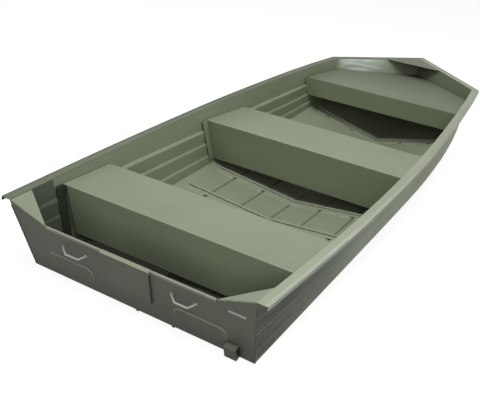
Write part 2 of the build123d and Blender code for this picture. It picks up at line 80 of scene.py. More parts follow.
# Distance under which points are one, and the angles that count as flat, smooth and sharp
MERGE = 1e-6
FLAT_ANGLE = math.radians(0.6)
SMOOTH_ANGLE = math.radians(32.0)
SHARP_ANGLE = math.radians(35.0)


class Slot(Enum):
    """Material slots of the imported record."""

    HULL = "hull_paint"
    RAIL = "rail_paint"
    BENCH = "bench_paint"
    FLOOR = "floor_paint"
    METAL = "worn_metal"
    PLATE = "bare_plate"
    BOARD = "board_wood"


def hull_point(x: float, y: float, z: float) -> Vector:
    """Point of the hull's frame in the shared frame."""
    return Vector((x - MIDDLE_X, y, z + KEEL_LIFT))


def transom_point(y: float, height: float, out: float) -> Vector:
    """Point near the transom's outer face.

    Args:
        y: Distance to port.
        height: Distance up the raked face.
        out: Distance aft of the face.

    Returns:
        The point in the shared frame, in metres.
    """
    reach = out + TRANSOM_SHEET
    x = (-height * RAKE - reach) / RAKE_RUN
    z = (height - reach * RAKE) / RAKE_RUN
    return hull_point(x, y, z)


TRANSOM_AFT = Vector((-1.0, 0.0, -RAKE)).normalized()
TRANSOM_UP = Vector((-RAKE, 0.0, 1.0)).normalized()
AFT = Vector((-1.0, 0.0, 0.0))
TO_STARBOARD = Vector((0.0, -1.0, 0.0))
UP = Vector((0.0, 0.0, 1.0))
# Share of a normal that counts as looking one way, and more than any share
SQUARE_ON = 0.9
NO_MOST = 2.0


# Modelling by hand: selecting, shaping and finishing meshes


def deselect_everything() -> None:
    """Clears the selection of objects."""
    bpy.ops.object.select_all(action="DESELECT")


def make_active(piece: Object) -> None:
    """Selects one piece alone and makes it the active one."""
    deselect_everything()
    piece.select_set(True)
    bpy.context.view_layer.objects.active = piece


def apply_place(piece: Object) -> None:
    """Moves a piece's place and turn into its mesh."""
    make_active(piece)
    bpy.ops.object.transform_apply(location=True, rotation=True, scale=True)


@contextmanager
def editing(piece: Object, select: str = "DESELECT") -> Iterator[None]:
    """Edit mode on one piece.

    Args:
        piece: The mesh object to shape.
        select: SELECT to begin with all of it selected, DESELECT with nothing.
    """
    make_active(piece)
    bpy.ops.object.mode_set(mode="EDIT")
    bpy.ops.mesh.select_mode(type="VERT")
    bpy.ops.mesh.select_all(action=select)
    yield
    bpy.ops.object.mode_set(mode="OBJECT")


def pick(piece: Object, kind: str, test: PairTest) -> None:
    """Selects the edges or faces that pass a test.

    Args:
        piece: The piece in edit mode.
        kind: EDGE or FACE.
        test: Gets an edge's two ends, or a face's middle and normal.
    """
    bpy.ops.mesh.select_all(action="DESELECT")
    bpy.ops.mesh.select_mode(type=kind)
    mesh = bmesh.from_edit_mesh(piece.data)
    if kind == "EDGE":
        found = [(edge, edge.verts[0].co, edge.verts[1].co) for edge in mesh.edges]
    else:
        found = [(face, face.calc_center_median(), face.normal) for face in mesh.faces]
    for element, first, second in found:
        if test(first, second):
            element.select_set(True)
    bmesh.update_edit_mesh(piece.data)


def pull_points(piece: Object, test: Callable[[Vector], bool], shift: Vector) -> None:
    """Moves the points of a piece that pass a test.

    Args:
        piece: The piece to shape.
        test: Gets a point and says whether it moves.
        shift: How far the points move.
    """
    with editing(piece):
        mesh = bmesh.from_edit_mesh(piece.data)
        for vertex in mesh.verts:
            if test(vertex.co):
                vertex.select_set(True)
        bmesh.update_edit_mesh(piece.data)
        bpy.ops.transform.translate(value=shift)


def apply_modifier(piece: Object, kind: str, **settings: object) -> None:
    """Adds a modifier with its settings and applies it.

    Args:
        piece: The piece to change.
        kind: Blender's name of the modifier's type.
        **settings: Values of the modifier's properties.
    """
    modifier = piece.modifiers.new(kind.lower(), kind)
    for key, value in settings.items():
        setattr(modifier, key, value)
    make_active(piece)
    bpy.ops.object.modifier_apply(modifier=modifier.name)


def cut(piece: Object, tool: Object, operation: str = "DIFFERENCE") -> None:
    """Cuts a piece with a tool, which is used up."""
    apply_modifier(piece, "BOOLEAN", operation=operation, solver="EXACT", object=tool)
    bpy.data.objects.remove(tool)


def thicken(sheet: Object, thickness: float) -> None:
    """Gives an open sheet its thickness, behind its faces."""
    apply_modifier(sheet, "SOLIDIFY", thickness=thickness, offset=-1.0)


def face_toward(sheet: Object, way: Vector) -> None:
    """Turns an open sheet's faces one way.

    Args:
        sheet: The sheet, before it gets its thickness.
        way: Direction that the faces look in.
    """
    with editing(sheet, "SELECT"):
        bpy.ops.mesh.normals_make_consistent(inside=False)
    if sum(face.normal.dot(way) * face.area for face in sheet.data.polygons) < 0.0:
        with editing(sheet, "SELECT"):
            bpy.ops.mesh.flip_normals()


def add_primitive(kind: str, **settings: object) -> Object:
    """Adds one of Blender's plain forms.

    Args:
        kind: Blender's name of the form.
        **settings: Its sizes and place.

    Returns:
        The new piece, at the origin.
    """
    deselect_everything()
    getattr(bpy.ops.mesh, f"primitive_{kind}_add")(**settings)
    apply_place(bpy.context.object)
    return bpy.context.object


def add_block(low: Vector, high: Vector) -> Object:
    """Block between two corners, ready to be shaped."""
    return add_primitive("cube", size=1.0, location=(low + high) / 2.0, scale=high - low)


def add_sheet(name: str, rows: Sequence[Row]) -> Object:
    """Grid whose lines of points are laid along the given rows.

    Args:
        name: Name of the new piece.
        rows: Rows of points, all of one length.

    Returns:
        The new piece, an open sheet.
    """
    across = len(rows[0])
    piece = add_primitive("grid", x_subdivisions=len(rows) - 1, y_subdivisions=across - 1, size=1.0)
    piece.name = name
    points = sorted(piece.data.vertices, key=lambda v: (round(v.co.x, 5), round(v.co.y, 5)))
    for index, vertex in enumerate(points):
        vertex.co = rows[index // across][index % across]
    return piece


def add_tube(name: str, rows: Sequence[Row]) -> Object:
    """Closed solid through outlines, with its seam merged and its ends filled.

    Args:
        name: Name of the new piece.
        rows: Outlines with matching corners, each without a repeated last point.

    Returns:
        The new piece, closed and with its faces outwards.
    """
    piece = add_sheet(name, [row + row[:1] for row in rows])
    with editing(piece, "SELECT"):
        bpy.ops.mesh.remove_doubles(threshold=MERGE)
        bpy.ops.mesh.select_all(action="DESELECT")
        bpy.ops.mesh.select_mode(type="EDGE")
        bpy.ops.mesh.select_non_manifold(extend=False, use_boundary=True)
        bpy.ops.mesh.edge_face_add()
        bpy.ops.mesh.select_all(action="SELECT")
        bpy.ops.mesh.normals_make_consistent(inside=False)
    return piece


def soften(piece: Object, width: float, segments: int = 2) -> None:
    """Rolls the sharp edges of a piece over.

    Args:
        piece: The piece to soften.
        width: Width of the roll in metres.
        segments: Number of faces across the roll.
    """
    with editing(piece):
        bpy.ops.mesh.select_mode(type="EDGE")
        bpy.ops.mesh.edges_select_sharp(sharpness=SHARP_ANGLE)
        bpy.ops.mesh.bevel(offset=width, segments=segments, clamp_overlap=True)


def softened_copy(node: str, name: str, width: float, segments: int = 2) -> Object:
    """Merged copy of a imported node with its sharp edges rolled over.

    Args:
        node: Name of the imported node.
        name: Name of the new piece.
        width: Width of the roll in metres.
        segments: Number of faces across the roll.

    Returns:
        The new piece, with a mesh of its own.
    """
    piece = bpy.data.objects.new(name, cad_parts[node].data.copy())
    bpy.context.scene.collection.objects.link(piece)
    make_active(piece)
    bpy.ops.mesh.customdata_custom_splitnormals_clear()
    with editing(piece, "SELECT"):
        bpy.ops.mesh.remove_doubles(threshold=10.0 * MERGE)
        bpy.ops.mesh.dissolve_limited(angle_limit=FLAT_ANGLE)
        bpy.ops.mesh.normals_make_consistent(inside=False)
    soften(piece, width, segments)
    return piece


def join_pieces(name: str, pieces: Sequence[Object]) -> Object:
    """Joins pieces into one under a new name.

    Args:
        name: Name of the joined piece.
        pieces: The pieces to join.

    Returns:
        The joined piece.
    """
    make_active(pieces[0])
    for piece in pieces:
        piece.select_set(True)
    bpy.ops.object.join()
    pieces[0].name = name
    return pieces[0]


# Shader wiring


class Wiring:
    """Adds nodes to a node tree and joins them."""

    def __init__(self, tree: NodeTree) -> None:
        """Keeps the tree that the nodes go into."""
        self.tree = tree

    def feed(self, node: bpy.types.Node, values: Inputs) -> None:
        """Links sockets to a node's inputs, or sets the inputs' values.

        Args:
            node: The node.
            values: Socket or value of each input.
        """
        for name, value in values.items():
            if isinstance(value, bpy.types.NodeSocket):
                self.tree.links.new(value, node.inputs[name])
            else:
                node.inputs[name].default_value = value

    def add(self, kind: str, values: Inputs | None = None, **settings: object) -> bpy.types.Node:
        """Adds a node.

        Args:
            kind: Type name of the node.
            values: Socket or value of each input.
            **settings: Properties of the node.

        Returns:
            The new node.
        """
        node = self.tree.nodes.new(kind)
        for key, value in settings.items():
            setattr(node, key, value)
        self.feed(node, values or {})
        return node

    def plus(self, first: object, second: object, clamp: bool = False) -> object:
        """Sum of two values."""
        return self.add("ShaderNodeMath", {0: first, 1: second}, operation="ADD", use_clamp=clamp).outputs[0]

    def times(self, first: object, second: object, clamp: bool = False) -> object:
        """Product of two values."""
        node = self.add("ShaderNodeMath", {0: first, 1: second}, operation="MULTIPLY", use_clamp=clamp)
        return node.outputs[0]

    def blend(self, share: object, first: object, second: object) -> object:
        """Colour between two colours: the first where share is 0, the second where it is 1."""
        return self.add("ShaderNodeMix", {0: share, 6: first, 7: second}, data_type="RGBA").outputs[2]

    def between(self, value: object, low: float, high: float) -> object:
        """Smooth step of a value from 0 at low to 1 at high."""
        values = {0: value, 1: low, 2: high}
        return self.add("ShaderNodeMapRange", values, interpolation_type="SMOOTHSTEP").outputs[0]

    def place(self) -> object:
        """Coordinates of the piece, fixed to its mesh."""
        return self.add("ShaderNodeTexCoord").outputs["Object"]

    def noise(self, vector: object, scale: object, detail: float = 2.0) -> object:
        """Value of a noise pattern, with its waves per metre and its number of finer layers."""
        return self.add("ShaderNodeTexNoise", {"Vector": vector, "Scale": scale, "Detail": detail}).outputs[0]

    def stretched(self, vector: object, scale: Colour) -> object:
        """Coordinates stretched by a factor along each axis."""
        return self.add("ShaderNodeMapping", {"Vector": vector, "Scale": scale}).outputs[0]


def rgba(colour: Colour) -> tuple[float, float, float, float]:
    """Colour with full alpha."""
    return (*colour, 1.0)


class EffectGroups:
    """Node groups that more than one finish shares, each built once."""

    def __init__(self) -> None:
        """Builds every group."""
        self.mottle = self.make_mottle()
        self.wear = self.make_mask("edge_wear", {"Width": 0.004, "Amount": 0.5}, self.worn_edges)
        self.runs = self.make_mask("sheet_runs", {"Amount": 0.3}, self.sheet_runs)
        self.dust = self.make_mask("floor_dust", {"Amount": 0.3}, self.fine_dust)
        # Painted shade from ambient occlusion, for the seams and for the wider shade
        self.occlusion_shade = self.make_mask("painted_occlusion_shade", {"Amount": 0.8, "Reach": 0.02}, self.painted_occlusion)

    @staticmethod
    def begin(name: str, inputs: Inputs, outputs: Sequence[str]) -> tuple[Wiring, object, object]:
        """Starts a group with its named sockets.

        Args:
            name: Name of the group.
            inputs: Default of each input, a number or a colour.
            outputs: Name of each output; Colour is a colour, the others are numbers.

        Returns:
            The wiring, the outputs of the group's input node, and its output node.
        """
        tree = bpy.data.node_groups.new(name, "ShaderNodeTree")
        for label, value in inputs.items():
            kind = "NodeSocketFloat" if isinstance(value, float) else "NodeSocketColor"
            tree.interface.new_socket(name=label, in_out="INPUT", socket_type=kind).default_value = value
        for label in outputs:
            kind = "NodeSocketColor" if label == "Colour" else "NodeSocketFloat"
            tree.interface.new_socket(name=label, in_out="OUTPUT", socket_type=kind)
        wiring = Wiring(tree)
        return wiring, wiring.add("NodeGroupInput").outputs, wiring.add("NodeGroupOutput")

    def make_mottle(self) -> ShaderNodeTree:
        """Soft change of tone over a painted sheet, with a fine orange-peel height.

        Returns:
            The group, with Colour, Gloss and Height outputs.
        """
        inputs = {"Tone": rgba((0.26, 0.29, 0.2)), "Shade": rgba((0.2, 0.22, 0.15)),
                  "Patches": 2.0, "Peel": 1.0}
        wiring, given, result = self.begin("paint_mottle", inputs, ["Colour", "Gloss", "Height"])
        place = wiring.place()
        patches = wiring.between(wiring.noise(place, given["Patches"], 3.0), 0.35, 0.68)
        fine = wiring.noise(place, 90.0, 3.0)
        speckle = wiring.times(wiring.plus(fine, -0.5), 0.35)
        share = wiring.plus(wiring.times(patches, 0.6), speckle, clamp=True)
        wiring.feed(result, {"Colour": wiring.blend(share, given["Tone"], given["Shade"]),
                             "Gloss": wiring.plus(wiring.times(share, 0.12), speckle),
                             "Height": wiring.times(wiring.noise(place, 420.0, 1.0), given["Peel"])})
        return wiring.tree

    def make_mask(self, name: str, inputs: Inputs,
                  pattern: Callable[[Wiring, object], object]) -> ShaderNodeTree:
        """Group whose Mask output is a pattern taken by its Amount.

        Args:
            name: Name of the group.
            inputs: Default of each input.
            pattern: Gets the wiring and the inputs' sockets and gives the pattern.

        Returns:
            The group.
        """
        wiring, given, result = self.begin(name, inputs, ["Mask"])
        wiring.feed(result, {"Mask": wiring.times(pattern(wiring, given), given["Amount"], clamp=True)})
        return wiring.tree

    @staticmethod
    def worn_edges(wiring: Wiring, given: object) -> object:
        """Paint rubbed off along convex edges.

        Args:
            wiring: Wiring of the group.
            given: Sockets of the inputs.

        Returns:
            The output socket.
        """
        rounded = wiring.add("ShaderNodeBevel", {"Radius": given["Width"]}, samples=4).outputs[0]
        plain = wiring.add("ShaderNodeNewGeometry").outputs["Normal"]
        turn = wiring.add("ShaderNodeVectorMath", {0: rounded, 1: plain}, operation="DOT_PRODUCT")
        broken = wiring.between(wiring.noise(wiring.place(), 38.0, 4.0), 0.42, 0.6)
        return wiring.times(wiring.between(turn.outputs["Value"], 0.995, 0.9), broken)

    @staticmethod
    def sheet_runs(wiring: Wiring, _given: object) -> object:
        """Faint marks along the sheet's length and down it, as rolling and rain leave them.

        Args:
            wiring: Wiring of the group.
            _given: Sockets of the inputs, not used here.

        Returns:
            The output socket.
        """
        place = wiring.place()
        along = wiring.noise(wiring.stretched(place, (0.8, 14.0, 26.0)), 1.0, 3.0)
        down = wiring.noise(wiring.stretched(place, (9.0, 9.0, 0.8)), 1.0, 2.0)
        return wiring.between(wiring.plus(wiring.times(along, 0.5), wiring.times(down, 0.5)), 0.4, 0.66)

    @staticmethod
    def fine_dust(wiring: Wiring, _given: object) -> object:
        """Fine dust on faces that look up.

        Args:
            wiring: Wiring of the group.
            _given: Sockets of the inputs, not used here.

        Returns:
            The output socket.
        """
        plain = wiring.add("ShaderNodeNewGeometry").outputs["Normal"]
        normal = wiring.add("ShaderNodeSeparateXYZ", {0: plain})
        flat = wiring.between(normal.outputs["Z"], 0.6, 0.98)
        return wiring.times(flat, wiring.between(wiring.noise(wiring.place(), 7.0, 5.0), 0.38, 0.7))

    @staticmethod
    def painted_occlusion(wiring: Wiring, given: object) -> object:
        """Painted shade from ambient occlusion, darkest where sheets meet or close over each other."""
        hidden = wiring.add("ShaderNodeAmbientOcclusion", {"Distance": given["Reach"]}, samples=8)
        return wiring.between(hidden.outputs["AO"], 0.72, 0.22)


GROUPS = EffectGroups()


@dataclass(frozen=True)
class PaintFinish:
    """Satin paint on sheet metal, worn through along its edges, with painted shade from ambient occlusion in
    its seams and hollows.
    """

    name: str
    tone: Colour
    shade: Colour
    worn: Colour = (0.45, 0.47, 0.4)
    patches: float = 1.6
    roughness: float = 0.42
    specular: float = 0.25
    peel: float = 0.0004
    wear: float = 0.35
    wear_width: float = 0.004
    runs: float = 0.25
    dust: float = 0.06
    dust_colour: Colour = (0.36, 0.385, 0.29)
    # Painted shade from ambient occlusion in seams, creases and under parts: its share, reach and colour
    occlusion_shade: float = 0.9
    occlusion_shade_reach: float = 0.022
    painted_shade_colour: Colour = (0.014, 0.017, 0.011)
    # Painted shade from ambient occlusion over a wider reach, in the same colour: its share and reach
    shadow: float = 0.4
    shadow_reach: float = 0.35

    def marks(self, wiring: Wiring, colour: object) -> object:
        """Base colour with the finish's painted band of light and shade; plain paint has none."""
        return colour

    @staticmethod
    def masked(wiring: Wiring, group: ShaderNodeTree, colour: object, over: Colour,
               **inputs: float) -> tuple[object, object]:
        """Colour with another one over it by a shared group's mask, and that mask."""
        mask = wiring.add("ShaderNodeGroup", inputs, node_tree=group).outputs["Mask"]
        return wiring.blend(mask, colour, rgba(over)), mask

    def material(self) -> Material:
        """Builds the finish's material, or finds it when it is there.

        Returns:
            The material.
        """
        known = bpy.data.materials.get(self.name)
        if known is not None:
            return known
        material = bpy.data.materials.new(self.name)
        material.use_nodes = True
        wiring = Wiring(material.node_tree)
        shader = material.node_tree.nodes["Principled BSDF"]
        tones = {"Tone": rgba(self.tone), "Shade": rgba(self.shade),
                 "Patches": self.patches, "Peel": self.peel}
        mottle = wiring.add("ShaderNodeGroup", tones, node_tree=GROUPS.mottle).outputs
        colour, _mask = self.masked(wiring, GROUPS.runs, mottle["Colour"], self.shade,
                                    Amount=self.runs)
        colour, dust = self.masked(wiring, GROUPS.dust, colour, self.dust_colour, Amount=self.dust)
        # Painted shade from ambient occlusion over a wide reach
        colour, _mask = self.masked(wiring, GROUPS.occlusion_shade, colour, self.painted_shade_colour,
                                    Amount=self.shadow, Reach=self.shadow_reach)
        # Painted light and shade in a band, where the finish has one
        colour = self.marks(wiring, colour)
        colour, _mask = self.masked(wiring, GROUPS.wear, colour, self.worn,
                                    Amount=self.wear, Width=self.wear_width)
        # Painted shade from ambient occlusion in seams and creases; it also dulls the gloss
        colour, occlusion_shade = self.masked(wiring, GROUPS.occlusion_shade, colour, self.painted_shade_colour,
                                    Amount=self.occlusion_shade, Reach=self.occlusion_shade_reach)
        rough = wiring.plus(mottle["Gloss"], self.roughness)
        dull = wiring.times(wiring.plus(dust, occlusion_shade), 0.4)
        bump = wiring.add("ShaderNodeBump", {"Distance": 1.0, "Strength": 0.2, "Height": mottle["Height"]})
        wiring.feed(shader, {"Base Color": colour, "Roughness": wiring.plus(rough, dull, clamp=True),
                             "Specular IOR Level": self.specular, "Normal": bump.outputs[0]})
        return material


@dataclass(frozen=True)
class PaintedBandFinish(PaintFinish):
    """Paint with a soft painted band along the hull: a painted highlight or reflection where lighter, painted
    shade where darker.
    """

    # colour of the painted band: lighter for a painted highlight or reflection, darker for painted shade
    band: Colour = (0.66, 0.7, 0.66)
    # x where the band begins and is full, then where it fades and ends
    span: tuple[float, float, float, float] = (1.57, 1.60, 1.72, 1.92)
    # height where the band is full and where it ends
    top: float = 0.63
    foot: float = 0.50
    # how far streaks break the band up
    streak: float = 0.55

    def marks(self, wiring: Wiring, colour: object) -> object:
        """Adds the painted band of light and shade.

        Args:
            wiring: Wiring of the material.
            colour: Colour under the band.

        Returns:
            The colour with the band.
        """
        place = wiring.place()
        axes = wiring.add("ShaderNodeSeparateXYZ", {0: place}).outputs
        begins, full, fades, ends = self.span
        along = wiring.times(wiring.between(axes["X"], begins, full), wiring.between(axes["X"], ends, fades))
        high = wiring.between(axes["Z"], self.foot, self.top)
        waves = wiring.noise(wiring.stretched(place, (5.0, 5.0, 42.0)), 1.0, 2.0)
        streaks = wiring.between(waves, 0.25, 0.75)
        broken = wiring.plus(wiring.times(high, 1.0 - self.streak), wiring.times(streaks, self.streak))
        share = wiring.times(along, broken, clamp=True)
        return wiring.blend(share, colour, rgba(self.band))


OLIVE: Colour = (0.262, 0.300, 0.205)
OLIVE_SHADE: Colour = (0.225, 0.262, 0.176)


class Finishes(Enum):
    """Finishes of the boat's pieces."""

    HULL = PaintFinish("hull_satin", OLIVE, OLIVE_SHADE, specular=0.3)
    FLOOR = PaintFinish("floor_satin", OLIVE, OLIVE_SHADE, runs=0.2, dust=0.15, shadow=0.3)
    # Wide edge wear: rubbed paint, and a painted highlight along the folded edges
    BENCH = PaintFinish("bench_satin", OLIVE, OLIVE_SHADE, patches=1.1, runs=0.12, wear=0.5,
                        wear_width=0.007)
    # Lighter paint on the benches' top folds: painted highlight
    FOLD = PaintFinish("fold_painted_highlight", (0.37, 0.405, 0.305), (0.32, 0.355, 0.26), runs=0.05)
    RAIL = PaintFinish("rail_satin", (0.275, 0.305, 0.215), (0.235, 0.265, 0.18), roughness=0.38, runs=0.1)
    # Darker paint on the port rails and lighter on the starboard rails: painted shade and painted light on
    # one paint
    RAIL_PORT = PaintFinish("rail_port_painted_shade", (0.16, 0.184, 0.127), (0.138, 0.159, 0.107),
                            roughness=0.38, runs=0.1, specular=0.1)
    RAIL_STARBOARD = PaintFinish("rail_starboard_painted_light", (0.335, 0.375, 0.272), (0.29, 0.33, 0.233),
                                 roughness=0.38, runs=0.1)
    # Lighter paint on the starboard bead, brightest in a band near the stern: painted highlight
    BEAD = PaintedBandFinish("bead_painted_highlight", (0.33, 0.365, 0.27), (0.28, 0.315, 0.23), roughness=0.34,
                      band=(0.78, 0.8, 0.74), span=(-2.3, -2.2, -1.4, 0.2), top=0.40, foot=0.36)
    # Lighter paint on the starboard side as painted reflection, with a dark band over its aft end as painted
    # shade
    SIDE_STARBOARD = PaintedBandFinish("side_starboard_painted_light_and_shade", (0.41, 0.462, 0.326), (0.36, 0.408, 0.282),
                                specular=0.06, band=(0.05, 0.057, 0.043), span=(-2.4, -2.3, -1.95, -0.7),
                                top=0.05, foot=0.0, streak=0.15)
    # Dark paint on the sides' inner faces in the stern well: painted shade
    WELL = PaintFinish("well_painted_shade", (0.12, 0.138, 0.098), (0.1, 0.116, 0.082), specular=0.15, dust=0.0)
    # Lighter paint on the benches' aft faces and the bow bench: painted light; its wide edge wear is rubbed
    # paint and a painted highlight along the folds
    FACE = PaintFinish("bench_face_painted_light", (0.315, 0.358, 0.245), (0.27, 0.312, 0.21), patches=1.1, runs=0.12,
                       wear=0.5, wear_width=0.007)
    # Darker paint on the bow deck, the starboard bow panel and the breasthook: painted shade, with a wider
    # reach of occlusion shade
    DECK = PaintFinish("deck_painted_shade", (0.19, 0.218, 0.15), (0.164, 0.191, 0.129), patches=1.1, runs=0.1,
                       specular=0.14, occlusion_shade_reach=0.05)
    WELD = PaintFinish("weld_satin", (0.05, 0.056, 0.042), (0.03, 0.035, 0.026), worn=(0.2, 0.21, 0.17),
                       wear=0.5)
    # Rib paint a little lighter, with strong light edge wear: rubbed paint and a painted highlight along the
    # folds
    RIB = PaintFinish("rib_satin", (0.3, 0.335, 0.245), OLIVE, worn=(0.52, 0.55, 0.47), wear=0.9,
                      wear_width=0.006, runs=0.1)
    # Light paint on the ribs' crests: painted highlight
    CREST = PaintFinish("crest_painted_highlight", (0.44, 0.475, 0.38), (0.38, 0.415, 0.32), wear=0.6, shadow=0.2)
    # Bright band on the port bow panel's inner face: painted reflection
    BOW_PANEL = PaintedBandFinish("bow_panel_painted_reflection", OLIVE, OLIVE_SHADE, specular=0.3, band=(0.8, 0.84, 0.82))
    # Near-black paint on the aft bench's end strips, the handles' feet and the bracket's side: painted shade
    RECESS = PaintFinish("deep_painted_shade", (0.04, 0.045, 0.032), (0.03, 0.035, 0.024), wear=0.1)
    # Darker paint on the transom and what is fixed to it, and on the strakes: painted shade; its light edge
    # wear is rubbed paint and a painted highlight along the pressed shapes
    TRANSOM = PaintFinish("transom_painted_shade", (0.155, 0.177, 0.13), (0.13, 0.15, 0.109), specular=0.12,
                          runs=0.15, dust=0.0, worn=(0.4, 0.43, 0.35), wear=0.6, wear_width=0.005)
    # Lighter paint on the slopes of the shapes pressed in the transom: painted highlight
    PRESSED = PaintFinish("pressed_painted_highlight", (0.3, 0.33, 0.26), (0.26, 0.29, 0.225), specular=0.12, runs=0.1,
                          dust=0.0)
    METAL = PaintFinish("handle_metal", (0.54, 0.57, 0.5), (0.42, 0.44, 0.38), worn=(0.75, 0.75, 0.7),
                        roughness=0.26, specular=0.8, wear=0.5, occlusion_shade_reach=0.03)
    PLATE = PaintFinish("plate_metal", (0.56, 0.59, 0.54), (0.48, 0.5, 0.46), roughness=0.4, wear=0.1)
    # Near-black paint on the motor board, which sits in shade: painted shade
    BOARD = PaintFinish("board_painted_shade", (0.02, 0.023, 0.017), (0.013, 0.015, 0.011), roughness=0.8,
                        specular=0.03, peel=0.002, worn=(0.1, 0.08, 0.05), wear=0.1, dust=0.0)


def settle(piece: Object, finish: Finishes, replaced: Sequence[str] = ()) -> None:
    """Dresses a finished piece and lets it ride on the hull.

    Args:
        piece: The finished piece.
        finish: Its finish.
        replaced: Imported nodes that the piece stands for.
    """
    apply_place(piece)
    bpy.ops.object.shade_smooth_by_angle(angle=SMOOTH_ANGLE)
    apply_modifier(piece, "WEIGHTED_NORMAL", keep_sharp=True)
    piece.data.materials.clear()
    piece.data.materials.append(finish.value.material())
    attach(piece, "root")
    if replaced:
        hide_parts(*replaced)
    log.info("%s: %d faces, %s", piece.name, len(piece.data.polygons), finish.name.lower())


def dress_faces(piece: Object, finish: Finishes, test: PairTest) -> None:
    """Gives some faces of a settled piece a second finish.

    Args:
        piece: The settled piece.
        finish: The second finish.
        test: Gets a face's middle and normal and says whether it takes the finish.
    """
    piece.data.materials.append(finish.value.material())
    for face in piece.data.polygons:
        if test(face.center, face.normal):
            face.material_index = len(piece.data.materials) - 1


def looking(way: Vector, least: float, most: float = NO_MOST) -> PairTest:
    """Test for faces whose normal has a share of one direction between two limits."""
    return lambda _middle, normal: least < normal.dot(way) < most


@dataclass(frozen=True)
class RolledCopies:
    """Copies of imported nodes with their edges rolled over."""

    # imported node, roll of its edges, finish, slot
    pieces: tuple[tuple[str, float, Finishes, Slot], ...]
    ending: str = "finished"

    def build(self) -> None:
        """Copies each node and dresses the copy."""
        for node, roll, finish, slot in self.pieces:
            settle(softened_copy(node, f"{node}_{self.ending}", roll), finish, [node])


STRAKE_ENDS = ("keel", "inner_port", "inner_starboard", "outer_port", "outer_starboard")
# The strakes take the transom's painted shade
STRAKES = RolledCopies(tuple((f"strake_{end}", 0.002, Finishes.TRANSOM, Slot.HULL) for end in STRAKE_ENDS),
                       "bar")
BOW_FITTINGS = RolledCopies((
    # The port bow panel takes the painted reflection
    ("bow_panel_port", 0.0008, Finishes.BOW_PANEL, Slot.HULL),
    # The starboard bow panel and the breasthook take the deck's painted shade
    ("bow_panel_starboard", 0.0008, Finishes.DECK, Slot.HULL),
    ("breasthook", 0.0008, Finishes.DECK, Slot.RAIL),
    ("bow_eye", 0.0015, Finishes.METAL, Slot.METAL),
))


# The hull's shape


@dataclass(frozen=True)
class Section:
    """Sizes of the hull across one station."""

    stop: float
    foot_x: float
    lean: float
    keel: float
    chine_y: float
    chine_z: float
    rise: float
    top_y: float
    top_z: float
    ledge: float
    climb: float

    def at(self, y: float, z: float) -> Vector:
        """Point of the section's plane in the shared frame."""
        return hull_point(self.foot_x + self.lean * z, y, z)


